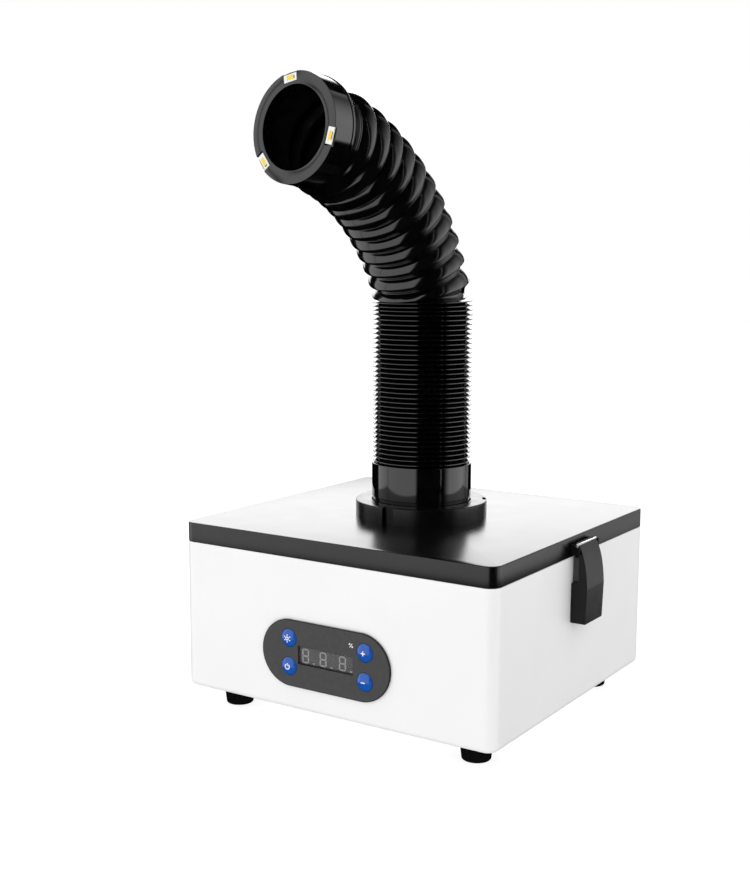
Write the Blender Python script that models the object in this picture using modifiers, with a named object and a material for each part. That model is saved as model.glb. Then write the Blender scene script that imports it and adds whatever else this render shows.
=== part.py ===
"""Solder fume extractor: a filter box with a lift-off lid and a corrugated hose that stays where it is bent.

The origin is the middle of the box's underside, +Z is up, and the control panel faces -Y.
Sizes are in metres.
"""

import math

import bmesh
import bpy
from mathutils import Matrix, Vector

MM = 0.001
GAP = 0.3 * MM

# Box
BODY_WIDTH = 270 * MM
BODY_DEPTH = 255 * MM
BODY_HEIGHT = 114 * MM
BODY_WALL = 2.6 * MM
CORNER_RADIUS = 9 * MM
BASE_ROUNDING = 4 * MM
PAD_REACH = (85 * MM, 80 * MM)
GROOVE_WIDTH = 2 * MM
GROOVE_DEPTH = 0.6 * MM
FRONT = -BODY_DEPTH / 2
REAR = BODY_DEPTH / 2

# Lid
LID_TOP = 129 * MM
LID_WALL = 3 * MM
LID_EDGE_ROUNDING = 1.2 * MM
LID_HOLE_RADIUS = 33.5 * MM
SEAL_WALL = 3 * MM
SEAL_DEPTH = 7 * MM

# Feet
FOOT_X = 106.2 * MM
FOOT_Y = 97.5 * MM
FOOT_HEIGHT = 17 * MM
FOOT_TOP_RADIUS = 12.8 * MM
FOOT_BASE_RADIUS = 10.4 * MM
SCREW_RADIUS = 2 * MM

# Hose
COLLAR_RADIUS = 51.5 * MM
COLLAR_HEIGHT = 13 * MM
COLLAR_LIP_RADIUS = 38.9 * MM
COLLAR_NOTCHES = 3
FIRST_NOTCH_TURN = math.radians(1.6)
NOTCH_WIDTH = 9.5 * MM
NOTCH_DEPTH = 3.5 * MM
CUFF_RADIUS = 38.6 * MM
NECK_RADIUS = 38.2 * MM
HOSE_BORE = 32 * MM
CUFF_TOP = 171.3 * MM
PACKED_RADIUS = 35.8 * MM
PACKED_TOP = 284 * MM
BEND_START = 287 * MM
BEND_HEADING = math.radians(-6.2)
TIGHT_RADIUS = 70 * MM
TIGHT_ANGLE = math.radians(23.1)
WIDE_RADIUS = 168 * MM
RING_COUNT = 11
FIRST_CREST = 20.3 * MM
CREST_PITCH = 14.8 * MM
FIRST_RING_RADIUS = 37.4 * MM
RING_RADIUS = 38.6 * MM
RING_HALF_CREST = 2.6 * MM
RING_HALF_BASE = 3.8 * MM

# Nozzle
NOZZLE_STATION = 209 * MM
NOZZLE_LENGTH = 20 * MM
NOZZLE_RADIUS = 38 * MM
NOZZLE_BORE = 28.7 * MM
LED_SIZE = Vector((11.5, 5.2, 1.2)) * MM
LED_RADIUS = 33.9 * MM
LED_ANGLES = (100, -12, -141)

# Latches
LATCH_Y = (-10.6 * MM, 19.2 * MM)
LATCH_PIVOT = (4.5 * MM, 122.7 * MM)
LATCH_PIN_RADIUS = 1.5 * MM
CATCH_DEPTH = 5.7 * MM
CATCH_Z = (95 * MM, 113.4 * MM)

# Control panel
PANEL_CENTRE = (-1.6 * MM, 43.2 * MM)
PANEL_SIZE = (112.5 * MM, 50.3 * MM)
PANEL_THICKNESS = 1.5 * MM
BUTTON_RADIUS = 6.65 * MM
BUTTON_MIDDLE = (1.6 * MM, 0.7 * MM)
BUTTON_OFFSET = (33.3 * MM, 10.6 * MM)
WINDOW_SIZE = (48.4 * MM, 13.8 * MM)
WINDOW_OFFSET = (0.6 * MM, -0.2 * MM)
BOARD_Y = FRONT + 8.9 * MM

# Blower and filters
BLOWER_CENTRE = Vector((0, 5 * MM, 0))
SCROLL_START_RADIUS = 78 * MM
SCROLL_END_RADIUS = 106 * MM
SCROLL_START = math.radians(70)
SCROLL_END = math.radians(360)
BLOWER_TOP = 43.6 * MM
IMPELLER_RADIUS = 66 * MM
BLADE_COUNT = 20
SHELF_Z = 44 * MM
SHELF_THICKNESS = 2 * MM
PARTITION_Y = -98 * MM
FILTER_LOW = Vector((-119, -92, 0)) * MM
FILTER_HIGH = Vector((119, 118, 0)) * MM

# Rear wall
EXHAUST_CENTRE = (63 * MM, 23 * MM)
EXHAUST_SIZE = (84 * MM, 32 * MM)
GRILLE_SLOTS = 6
INLET_CENTRE = (-98 * MM, 26 * MM)
INLET_BODY = (26.6 * MM, 19.6 * MM)


def clear_scene():
    for obj in list(bpy.data.objects):
        bpy.data.objects.remove(obj)


def new_collection(name):
    collection = bpy.data.collections.new(name)
    bpy.context.scene.collection.children.link(collection)
    return collection


def new_material(name, color, roughness, metallic=0.0):
    material = bpy.data.materials.new(name)
    material.use_nodes = True
    shader = material.node_tree.nodes["Principled BSDF"]
    shader.inputs["Base Color"].default_value = (*color, 1)
    shader.inputs["Roughness"].default_value = roughness
    shader.inputs["Metallic"].default_value = metallic
    return material


clear_scene()
PARTS = new_collection("fume_extractor")
CUTTERS = new_collection("cutters")
CUTTERS.hide_render = True
pivot_world = {}

WHITE_SHELL = new_material("white_shell", (0.90, 0.90, 0.90), 0.3)
BLACK_GLOSS = new_material("black_gloss", (0.012, 0.012, 0.013), 0.15)
BLACK_HOSE = new_material("black_hose", (0.015, 0.015, 0.016), 0.28)
BLACK_RUBBER = new_material("black_rubber", (0.02, 0.02, 0.02), 0.65)
PANEL_GREY = new_material("panel_grey", (0.06, 0.06, 0.065), 0.45)
WINDOW_SMOKE = new_material("window_smoke", (0.10, 0.10, 0.10), 0.2)
BUTTON_BLUE = new_material("button_blue", (0.01, 0.09, 0.42), 0.3)
LED_WHITE = new_material("led_white", (0.9, 0.9, 0.85), 0.4)
STEEL = new_material("steel", (0.7, 0.7, 0.7), 0.25, 1.0)
BRASS = new_material("brass", (0.75, 0.6, 0.3), 0.3, 1.0)
BOARD_GREEN = new_material("board_green", (0.02, 0.15, 0.06), 0.5)
INNER_PLASTIC = new_material("inner_plastic", (0.08, 0.08, 0.085), 0.5)
FILTER_WHITE = new_material("filter_white", (0.85, 0.85, 0.82), 0.95)
FILTER_CARBON = new_material("filter_carbon", (0.03, 0.03, 0.03), 0.95)


def add_object(name, mesh, material, frame=None):
    """Link a mesh as a sub-part, placed by a rigid frame."""
    obj = bpy.data.objects.new(name, mesh)
    mesh.materials.clear()
    mesh.materials.append(material)
    obj.matrix_world = frame if frame is not None else Matrix()
    PARTS.objects.link(obj)
    return obj


def mesh_from(name, build):
    """Make a mesh by running build(bm) on an empty bmesh."""
    bm = bmesh.new()
    build(bm)
    bmesh.ops.recalc_face_normals(bm, faces=bm.faces)
    mesh = bpy.data.meshes.new(name)
    bm.to_mesh(mesh)
    bm.free()
    return mesh


def smooth(obj, degrees=35):
    obj.data.shade_smooth()
    obj.data.set_sharp_from_angle(angle=math.radians(degrees))
    return obj


def cube(bm, size, centre=(0, 0, 0)):
    placed = Matrix.Translation(centre) @ Matrix.Diagonal((*size, 1))
    return bmesh.ops.create_cube(bm, size=1, matrix=placed)["verts"]


def is_upright(edge):
    along = edge.verts[0].co - edge.verts[1].co
    return abs(along.z) > 0.99 * along.length


def rounded_block(bm, size, upright_radius, top_radius=0.0, base_radius=0.0):
    """A box about the origin with rounded upright edges, and rounded rims where a radius is given."""
    cube(bm, size)
    upright = [edge for edge in bm.edges if is_upright(edge)]
    bmesh.ops.bevel(bm, geom=upright, offset=upright_radius, segments=4, profile=0.5, affect="EDGES")
    for side, radius in ((1, top_radius), (-1, base_radius)):
        if radius == 0:
            continue
        level = side * size[2] / 2
        rim = [edge for edge in bm.edges if all(abs(v.co.z - level) < 1e-6 for v in edge.verts)]
        bmesh.ops.bevel(bm, geom=rim, offset=radius, segments=2, profile=0.5, affect="EDGES")


def add_block(name, low, high, material, bevel=0.0):
    """A box between two corners, with its origin at its middle."""
    low, high = Vector(low), Vector(high)
    mesh = mesh_from(name, lambda bm: cube(bm, high - low))
    obj = add_object(name, mesh, material, Matrix.Translation((low + high) / 2))
    if bevel:
        add_bevel(obj, bevel)
    return obj


def add_bevel(obj, width, segments=1):
    bevel = obj.modifiers.new("edges", "BEVEL")
    bevel.width = width
    bevel.segments = segments
    bevel.limit_method = "ANGLE"
    bevel.angle_limit = math.radians(40)


def add_turned(name, profile, steps, material, frame=None, closed=True):
    """Turn (radius, height) points about Z. They run down the outer side, then up the inner one."""
    mesh = bpy.data.meshes.new(name)
    points = [(radius, 0, height) for radius, height in profile]
    edges = [(i, i + 1) for i in range(len(points) - 1)]
    if closed:
        edges.append((len(points) - 1, 0))
    mesh.from_pydata(points, edges, [])
    obj = add_object(name, mesh, material, frame)
    screw = obj.modifiers.new("turn", "SCREW")
    screw.steps = steps
    screw.render_steps = steps
    screw.use_merge_vertices = True
    screw.merge_threshold = 0.00001
    screw.use_smooth_shade = False
    return obj


def applied(obj):
    """Replace an object's mesh by the result of its modifiers."""
    bpy.context.view_layer.update()
    graph = bpy.context.evaluated_depsgraph_get()
    mesh = bpy.data.meshes.new_from_object(obj.evaluated_get(graph))
    obj.modifiers.clear()
    obj.data = mesh
    return obj


def add_outline(name, points, thickness, material, frame):
    """A flat closed outline in the frame's XY plane, extruded half its thickness each way along Z."""
    curve = bpy.data.curves.new(name, "CURVE")
    curve.dimensions = "2D"
    curve.fill_mode = "BOTH"
    curve.extrude = thickness / 2
    spline = curve.splines.new("POLY")
    spline.points.add(len(points) - 1)
    for point, (x, y) in zip(spline.points, points):
        point.co = (x, y, 0, 1)
    spline.use_cyclic_u = True
    guide = bpy.data.objects.new(name + "_outline", curve)
    CUTTERS.objects.link(guide)
    bpy.context.view_layer.update()
    graph = bpy.context.evaluated_depsgraph_get()
    flat = bpy.data.meshes.new_from_object(guide.evaluated_get(graph))
    bpy.data.objects.remove(guide)

    def weld(bm):
        bm.from_mesh(flat)
        bmesh.ops.remove_doubles(bm, verts=bm.verts, dist=0.000001)

    return add_object(name, mesh_from(name, weld), material, frame)


def arc(centre, radius, start, end, steps):
    """Points from the start to the end angle, in degrees, with both ends."""
    angles = [math.radians(start + (end - start) * i / steps) for i in range(steps + 1)]
    return [(centre[0] + radius * math.cos(a), centre[1] + radius * math.sin(a)) for a in angles]


def stadium(width, height, steps=10):
    radius = height / 2
    reach = width / 2 - radius
    return arc((reach, 0), radius, -90, 90, steps) + arc((-reach, 0), radius, 90, 270, steps)


def add_cutter(name, mesh, frame=None):
    cutter = bpy.data.objects.new(name, mesh)
    cutter.matrix_world = frame if frame is not None else Matrix()
    return hide_cutter(cutter)


def hide_cutter(cutter):
    cutter.hide_render = True
    cutter.display_type = "WIRE"
    CUTTERS.objects.link(cutter)
    return cutter


def made_cutter(obj):
    """Turn a sub-part into a cutter."""
    PARTS.objects.unlink(obj)
    return hide_cutter(obj)


def boolean(obj, other, operation="DIFFERENCE"):
    step = obj.modifiers.new(other.name, "BOOLEAN")
    step.operation = operation
    step.solver = "EXACT"
    step.object = other


def cut_block(obj, low, high, turn=None):
    low, high = Vector(low), Vector(high)
    name = f"{obj.name}_slot_{len(obj.modifiers)}"
    mesh = mesh_from(name, lambda bm: cube(bm, high - low))
    frame = Matrix.Translation((low + high) / 2)
    boolean(obj, add_cutter(name, mesh, turn @ frame if turn is not None else frame))


def cylinder_mesh(name, radius, length, steps):
    def build(bm):
        bmesh.ops.create_cone(
            bm, cap_ends=True, segments=steps, radius1=radius, radius2=radius, depth=length
        )

    return mesh_from(name, build)


def cut_round(obj, radius, length, frame, steps=24):
    """Drill along the frame's Z, half the length each way."""
    name = f"{obj.name}_hole_{len(obj.modifiers)}"
    boolean(obj, add_cutter(name, cylinder_mesh(name, radius, length, steps), frame))


def facing_front(x, z, y=0.0):
    """A frame on the front wall: its X runs to the right, its Y up, its Z out to the front."""
    return Matrix.Translation((x, y, z)) @ Matrix.Rotation(math.radians(90), 4, "X")


def make_body():
    def tub(bm):
        size = (BODY_WIDTH, BODY_DEPTH, BODY_HEIGHT)
        rounded_block(bm, size, CORNER_RADIUS, base_radius=BASE_ROUNDING)
        top = [face for face in bm.faces if face.normal.z > 0.99]
        bmesh.ops.delete(bm, geom=top, context="FACES_ONLY")

    middle = Matrix.Translation((0, 0, BODY_HEIGHT / 2))
    body = add_object("body_shell", mesh_from("body_shell", tub), WHITE_SHELL, middle)
    wall = body.modifiers.new("wall", "SOLIDIFY")
    wall.thickness = BODY_WALL
    wall.offset = -1
    wall.use_even_offset = True

    x, z = PANEL_CENTRE
    half_w, half_h = 44 * MM, 19.5 * MM
    cut_block(body, (x - half_w, FRONT - 5 * MM, z - half_h), (x + half_w, FRONT + 5 * MM, z + half_h))
    x, z = EXHAUST_CENTRE
    half_w, half_h = EXHAUST_SIZE[0] / 2, EXHAUST_SIZE[1] / 2
    cut_block(body, (x - half_w, REAR - 5 * MM, z - half_h), (x + half_w, REAR + 5 * MM, z + half_h))
    x, z = INLET_CENTRE
    half_w, half_h = INLET_BODY[0] / 2 + GAP, INLET_BODY[1] / 2 + GAP
    cut_block(body, (x - half_w, REAR - 5 * MM, z - half_h), (x + half_w, REAR + 5 * MM, z + half_h))
    for x, y, _ in foot_places():
        cut_round(body, SCREW_RADIUS + GAP, 20 * MM, Matrix.Translation((x, y, 0)), steps=12)
    cut_pad_groove(body)
    smooth(body)


def cut_pad_groove(body):
    """A shallow groove marks off the flat middle of the underside from the corners that carry the feet."""
    half = GROOVE_WIDTH / 2
    reach_x, reach_y = PAD_REACH[0] + half, PAD_REACH[1] + half
    for side in (-1, 1):
        x, y = side * reach_x, side * reach_y
        cut_block(body, (x - half, -reach_y - half, -5 * MM), (x + half, reach_y + half, GROOVE_DEPTH))
        cut_block(body, (-reach_x - half, y - half, -5 * MM), (reach_x + half, y + half, GROOVE_DEPTH))


def foot_places():
    return [
        (side * FOOT_X, end * FOOT_Y, f"{'front' if end < 0 else 'rear'}_{'left' if side < 0 else 'right'}")
        for end in (-1, 1)
        for side in (-1, 1)
    ]


def make_feet():
    hole = SCREW_RADIUS + GAP
    recess_top = -9 * MM
    foot = [
        (FOOT_TOP_RADIUS, -GAP),
        (FOOT_BASE_RADIUS + 0.2 * MM, -FOOT_HEIGHT + 0.8 * MM),
        (FOOT_BASE_RADIUS - 0.6 * MM, -FOOT_HEIGHT),
        (5 * MM, -FOOT_HEIGHT),
        (5 * MM, recess_top),
        (hole, recess_top),
        (hole, -GAP),
    ]
    head_top = recess_top - GAP
    screw = [
        (0, BODY_WALL - GAP),
        (SCREW_RADIUS, BODY_WALL - GAP),
        (SCREW_RADIUS, head_top),
        (4.2 * MM, head_top),
        (4.2 * MM, head_top - 2.4 * MM),
        (0, head_top - 3 * MM),
    ]
    for x, y, place in foot_places():
        frame = Matrix.Translation((x, y, 0))
        smooth(applied(add_turned(f"foot_{place}", foot, 20, BLACK_RUBBER, frame)))
        smooth(applied(add_turned(f"foot_screw_{place}", screw, 10, STEEL, frame, closed=False)))


def make_lid():
    low = BODY_HEIGHT + GAP
    size = (BODY_WIDTH, BODY_DEPTH, LID_TOP - low)
    cap = mesh_from("lid", lambda bm: rounded_block(bm, size, CORNER_RADIUS, top_radius=LID_EDGE_ROUNDING))
    lid = add_object("lid", cap, BLACK_GLOSS, Matrix.Translation((0, 0, (LID_TOP + low) / 2)))

    pocket_size = (BODY_WIDTH - 2 * LID_WALL, BODY_DEPTH - 2 * LID_WALL, LID_TOP - LID_WALL - low + 5 * MM)
    pocket = mesh_from("lid_pocket", lambda bm: rounded_block(bm, pocket_size, CORNER_RADIUS - LID_WALL))
    pocket_z = LID_TOP - LID_WALL - pocket_size[2] / 2
    boolean(lid, add_cutter("lid_pocket", pocket, Matrix.Translation((0, 0, pocket_z))))
    cut_round(lid, LID_HOLE_RADIUS, 20 * MM, Matrix.Translation((0, 0, LID_TOP)), steps=40)
    smooth(lid)

    outer_x = BODY_WIDTH - 2 * LID_WALL - 2 * GAP
    outer_y = BODY_DEPTH - 2 * LID_WALL - 2 * GAP
    seal_low = BODY_HEIGHT - SEAL_DEPTH
    seal_high = LID_TOP - LID_WALL - GAP
    height = seal_high - seal_low
    middle = Matrix.Translation((0, 0, (seal_low + seal_high) / 2))
    rim = mesh_from("lid_seal", lambda bm: rounded_block(bm, (outer_x, outer_y, height), 6 * MM))
    seal = add_object("lid_seal", rim, BLACK_RUBBER, middle)
    hollow_size = (outer_x - 2 * SEAL_WALL, outer_y - 2 * SEAL_WALL, height + 4 * MM)
    hollow = mesh_from("seal_hollow", lambda bm: rounded_block(bm, hollow_size, 3 * MM))
    boolean(seal, add_cutter("seal_hollow", hollow, middle))
    smooth(seal)


def make_collar():
    low = LID_TOP + GAP
    top = LID_TOP + COLLAR_HEIGHT
    groove_radius = 43.6 * MM
    groove_low = LID_TOP + 2.6 * MM
    groove_high = LID_TOP + 7 * MM
    profile = [
        (COLLAR_RADIUS - 0.5 * MM, top),
        (COLLAR_RADIUS, top - 0.5 * MM),
        (COLLAR_RADIUS, low),
        (34 * MM, low),
        (34 * MM, groove_low),
        (groove_radius, groove_low),
        (groove_radius, groove_high),
        (COLLAR_LIP_RADIUS, groove_high),
        (COLLAR_LIP_RADIUS, top),
    ]
    collar = applied(add_turned("collar_ring", profile, 48, BLACK_GLOSS))
    for i in range(COLLAR_NOTCHES):
        turn = Matrix.Rotation(FIRST_NOTCH_TURN + 2 * math.pi * i / COLLAR_NOTCHES, 4, "Z")
        cut_block(
            collar,
            (-NOTCH_WIDTH / 2, -COLLAR_RADIUS - 5 * MM, LID_TOP - 5 * MM),
            (NOTCH_WIDTH / 2, -COLLAR_RADIUS + NOTCH_DEPTH, top + 5 * MM),
            turn,
        )
    smooth(collar)


def make_cuff():
    flange_low = LID_TOP + 2.9 * MM
    flange_high = LID_TOP + 6.6 * MM
    shoulder = LID_TOP + 16 * MM
    profile = [
        (CUFF_RADIUS - 0.6 * MM, CUFF_TOP),
        (CUFF_RADIUS, CUFF_TOP - 0.6 * MM),
        (CUFF_RADIUS, shoulder),
        (NECK_RADIUS, shoulder - 0.4 * MM),
        (NECK_RADIUS, flange_high),
        (43 * MM, flange_high),
        (43 * MM, flange_low),
        (34 * MM, flange_low),
        (34 * MM, CUFF_TOP),
    ]
    smooth(applied(add_turned("hose_cuff", profile, 40, BLACK_GLOSS)))


def hose_frame(station):
    """The hose's centre line at a distance past the bend's start: Z along it, X along the hinge axes."""
    forward = Vector((math.sin(BEND_HEADING), -math.cos(BEND_HEADING), 0))
    up = Vector((0, 0, 1))
    tight_length = TIGHT_RADIUS * TIGHT_ANGLE
    tilt = min(station, tight_length) / TIGHT_RADIUS
    centre = Vector((0, 0, BEND_START))
    centre += TIGHT_RADIUS * (forward * (1 - math.cos(tilt)) + up * math.sin(tilt))
    if station > tight_length:
        start = tilt
        tilt = start + (station - tight_length) / WIDE_RADIUS
        centre += WIDE_RADIUS * (forward * (math.cos(start) - math.cos(tilt)))
        centre += WIDE_RADIUS * (up * (math.sin(tilt) - math.sin(start)))
    along = forward * math.sin(tilt) + up * math.cos(tilt)
    across = up.cross(forward)
    frame = Matrix((across, along.cross(across), along)).transposed().to_4x4()
    return Matrix.Translation(centre) @ frame


def make_packed_hose():
    packed = [
        (PACKED_RADIUS, PACKED_TOP),
        (PACKED_RADIUS, CUFF_TOP + GAP),
        (HOSE_BORE, CUFF_TOP + GAP),
        (HOSE_BORE, PACKED_TOP),
    ]
    smooth(applied(add_turned("hose_packed", packed, 32, BLACK_HOSE)))
    ring_low = PACKED_TOP + GAP
    ring_top = PACKED_TOP + 4.3 * MM
    ring = [
        (PACKED_RADIUS, ring_top),
        (PACKED_RADIUS, ring_low),
        (HOSE_BORE, ring_low),
        (HOSE_BORE, ring_top),
    ]
    smooth(applied(add_turned("hose_top_ring", ring, 28, BLACK_HOSE)))


def ring_radius(index):
    """The lowest convolutions are a little narrower than the rest."""
    return RING_RADIUS - (RING_RADIUS - FIRST_RING_RADIUS) * max(0, 1 - index / 4)


def hang_on(obj, pivot, frame):
    """Parent an object to a pivot without moving it from its frame."""
    obj.parent = pivot
    obj.matrix_parent_inverse = pivot_world[pivot.name].inverted()
    obj.matrix_basis = frame


def add_pivot(number, parent):
    """An empty on the hinge between two convolutions."""
    pivot = bpy.data.objects.new(f"bend_pivot_{number:02d}", None)
    PARTS.objects.link(pivot)
    frame = hose_frame(FIRST_CREST + (number - 1.5) * CREST_PITCH)
    pivot_world[pivot.name] = frame
    if parent is None:
        pivot.matrix_world = frame
    else:
        hang_on(pivot, parent, frame)
    return pivot


def make_bent_hose():
    pivot = None
    for index in range(RING_COUNT):
        number = index + 1
        pivot = add_pivot(number, pivot)
        radius = ring_radius(index)
        profile = [
            (radius, RING_HALF_CREST),
            (radius, -RING_HALF_CREST),
            (HOSE_BORE, -RING_HALF_BASE),
            (HOSE_BORE, RING_HALF_BASE),
        ]
        ring = applied(add_turned(f"hose_ring_{number:02d}", profile, 28, BLACK_HOSE))
        hang_on(smooth(ring), pivot, hose_frame(FIRST_CREST + index * CREST_PITCH))
    return add_pivot(RING_COUNT + 1, pivot)


def make_nozzle(pivot):
    """The nozzle's face is its frame's z = 0, and Z points out of the mouth."""
    frame = hose_frame(NOZZLE_STATION)
    rear = -NOZZLE_LENGTH
    bead = NOZZLE_RADIUS + 0.6 * MM
    web = -4 * MM
    profile = [
        (NOZZLE_RADIUS - 0.4 * MM, 0),
        (NOZZLE_RADIUS, -0.4 * MM),
        (NOZZLE_RADIUS, rear + 2.6 * MM),
        (bead, rear + 2.0 * MM),
        (bead, rear + 0.6 * MM),
        (NOZZLE_RADIUS, rear),
        (36 * MM, rear),
        (36 * MM, web),
        (31.3 * MM, web),
        (31.3 * MM, -12 * MM),
        (NOZZLE_BORE, -12 * MM),
        (NOZZLE_BORE, 0),
    ]
    nozzle = applied(add_turned("nozzle_ring", profile, 40, BLACK_GLOSS))
    hang_on(nozzle, pivot, frame)
    board_high = web - GAP
    board_low = web - 1.5 * MM
    board = [
        (35.6 * MM, board_high),
        (35.6 * MM, board_low),
        (31.7 * MM, board_low),
        (31.7 * MM, board_high),
    ]
    hang_on(applied(add_turned("nozzle_led_board", board, 28, BOARD_GREEN)), pivot, frame)
    for number, angle in enumerate(LED_ANGLES, start=1):
        turned = frame @ Matrix.Rotation(math.radians(angle - 90), 4, "Z")
        middle = Vector((0, LED_RADIUS, -GAP - LED_SIZE.z / 2))
        reach = LED_SIZE / 2
        pocket_low = (-reach.x - GAP, middle.y - reach.y - GAP, -GAP - LED_SIZE.z - GAP)
        pocket_high = (reach.x + 1.1 * MM, NOZZLE_RADIUS + 2 * MM, 2 * MM)
        cut_block(nozzle, pocket_low, pocket_high, turned)
        led = add_object(f"nozzle_led_{number}", mesh_from("led", lambda bm: cube(bm, LED_SIZE)), LED_WHITE)
        hang_on(led, pivot, turned @ Matrix.Translation(middle))
    smooth(nozzle)


def side_frame(side, y):
    """A frame on a side wall: its X runs out of the wall, its Y up."""
    out = Vector((side, 0, 0))
    up = Vector((0, 0, 1))
    frame = Matrix((out, up, out.cross(up))).transposed().to_4x4()
    return Matrix.Translation((side * BODY_WIDTH / 2, y, 0)) @ frame


def lever_outline():
    """The lever's side view about its pin: (distance out, height)."""
    out, up = LATCH_PIVOT
    hook = arc((0, 0), LATCH_PIN_RADIUS + GAP, -25, -260, 12)
    curl = arc((0, 0), 3.1 * MM, 100, 240, 7)
    rest = [
        (6.1, 113.8),
        (6.1, 98),
        (5.2, 95.8),
        (3.6, 94.8),
        (0.4, 94.6),
        (0.4, 64.8),
        (12.3, 64.8),
        (12.5, 80),
        (12.4, 93),
        (11.8, 102),
        (10.8, 109),
        (9.2, 115.5),
        (7.2, 121),
    ]
    return hook + curl + [(x * MM - out, z * MM - up) for x, z in rest]


def make_latch(side, name):
    out, up = LATCH_PIVOT
    y_low, y_high = LATCH_Y
    y_middle = (y_low + y_high) / 2
    pivot = side_frame(side, y_middle) @ Matrix.Translation((out, up, 0))

    width = y_high - y_low
    lever = add_outline(f"latch_lever_{name}", lever_outline(), width, BLACK_GLOSS, pivot)
    cheek = 2.6 * MM
    half_channel = width / 2 - cheek
    channel_high = CATCH_DEPTH + 0.4 * MM - out
    cut_block(lever, (-20 * MM, -80 * MM, -half_channel), (channel_high, -8.5 * MM, half_channel), pivot)
    smooth(lever)

    ear = 3 * MM
    ear_gap = 0.4 * MM
    inner = width / 2 + ear_gap
    outer = inner + ear
    base = (GAP, 1.1 * MM)
    reach = 7.6 * MM
    bracket_outline = [
        (base[0], -outer),
        (reach, -outer),
        (reach, -inner),
        (base[1], -inner),
        (base[1], inner),
        (reach, inner),
        (reach, outer),
        (base[0], outer),
    ]
    low, high = 116 * MM, 126.4 * MM
    lying = side_frame(side, y_middle) @ Matrix.Rotation(math.radians(90), 4, "X")
    lifted = Matrix.Translation((0, 0, (low + high) / 2)) @ lying
    bracket = add_outline(f"latch_bracket_{name}", bracket_outline, high - low, BLACK_GLOSS, lifted)
    cut_round(bracket, LATCH_PIN_RADIUS + GAP, 2 * outer + 10 * MM, pivot, steps=12)
    smooth(bracket)

    pin_mesh = cylinder_mesh(f"latch_pin_{name}", LATCH_PIN_RADIUS, 2 * outer + 1 * MM, 12)
    smooth(add_object(f"latch_pin_{name}", pin_mesh, STEEL, pivot))

    catch_outline = [
        (GAP, CATCH_Z[0]),
        (3.4 * MM, CATCH_Z[0] + 0.2 * MM),
        (5 * MM, CATCH_Z[0] + 1.4 * MM),
        (CATCH_DEPTH, CATCH_Z[0] + 3.4 * MM),
        (CATCH_DEPTH, CATCH_Z[1]),
        (GAP, CATCH_Z[1]),
    ]
    catch_width = 2 * (half_channel - 0.5 * MM)
    add_outline(f"latch_catch_{name}", catch_outline, catch_width, PANEL_GREY, side_frame(side, y_middle))


def panel_point(x, z):
    return PANEL_CENTRE[0] + x, PANEL_CENTRE[1] + z


def make_panel():
    back = FRONT - GAP
    front = back - PANEL_THICKNESS
    frame = facing_front(*PANEL_CENTRE, y=(back + front) / 2)
    panel = add_outline("control_panel", stadium(*PANEL_SIZE), PANEL_THICKNESS, PANEL_GREY, frame)
    half_w, half_h = WINDOW_SIZE[0] / 2, WINDOW_SIZE[1] / 2
    x, z = panel_point(*WINDOW_OFFSET)
    cut_block(panel, (x - half_w, front - 5 * MM, z - half_h), (x + half_w, back + 5 * MM, z + half_h))
    for place, _ in button_places():
        cut_round(panel, BUTTON_RADIUS + GAP, 10 * MM, facing_front(*place, y=front), steps=24)
    smooth(panel)

    half_w, half_h = half_w - GAP, half_h - GAP
    add_block(
        "display_window",
        (x - half_w, front + 0.1 * MM, z - half_h),
        (x + half_w, back, z + half_h),
        WINDOW_SMOKE,
    )
    add_block(
        "display_module",
        (x - 23.5 * MM, back + GAP, z - 6.2 * MM),
        (x + 23.5 * MM, BOARD_Y - GAP, z + 6.2 * MM),
        INNER_PLASTIC,
    )


def button_places():
    """The middle of each button on the front wall, (x, z), with its name."""
    sides = {"light": (-1, 1), "power": (-1, -1), "plus": (1, 1), "minus": (1, -1)}
    places = []
    for name, (x_side, z_side) in sides.items():
        x = BUTTON_MIDDLE[0] + x_side * BUTTON_OFFSET[0]
        z = BUTTON_MIDDLE[1] + z_side * BUTTON_OFFSET[1]
        places.append((panel_point(x, z), name))
    return places


def make_buttons():
    """Each cap's frame has z = 0 at the panel's front face, with Z out to the front."""
    panel_front = FRONT - GAP - PANEL_THICKNESS
    flange_front = -PANEL_THICKNESS - GAP
    flange_back = flange_front - 1.4 * MM
    profile = [
        (0, 2.4 * MM),
        (3.2 * MM, 2.1 * MM),
        (5.4 * MM, 1.3 * MM),
        (BUTTON_RADIUS, 0.2 * MM),
        (BUTTON_RADIUS, flange_front),
        (7.8 * MM, flange_front),
        (7.8 * MM, flange_back),
        (2.5 * MM, flange_back),
        (2.5 * MM, flange_back - 2.2 * MM),
        (0, flange_back - 2.2 * MM),
    ]
    for place, name in button_places():
        frame = facing_front(*place, y=panel_front)
        smooth(applied(add_turned(f"button_{name}", profile, 16, BUTTON_BLUE, frame, closed=False)))


def make_control_board():
    """The board stands behind the panel, with a switch behind each button."""
    x, z = PANEL_CENTRE
    board = add_block(
        "control_board",
        (x - 54 * MM, BOARD_Y, z - 24 * MM),
        (x + 54 * MM, BOARD_Y + 1.6 * MM, z + 24 * MM),
        BOARD_GREEN,
    )
    for place, name in button_places():
        switch = mesh_from("switch", lambda bm: cube(bm, (6 * MM, 6 * MM, 5 * MM)))
        frame = facing_front(*place, y=BOARD_Y - 1.5 * MM)
        boolean(board, add_cutter(f"switch_{name}", switch, frame), "UNION")


def scroll_radius(angle):
    grown = (angle - SCROLL_START) / (SCROLL_END - SCROLL_START)
    return SCROLL_START_RADIUS + (SCROLL_END_RADIUS - SCROLL_START_RADIUS) * grown


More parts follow.
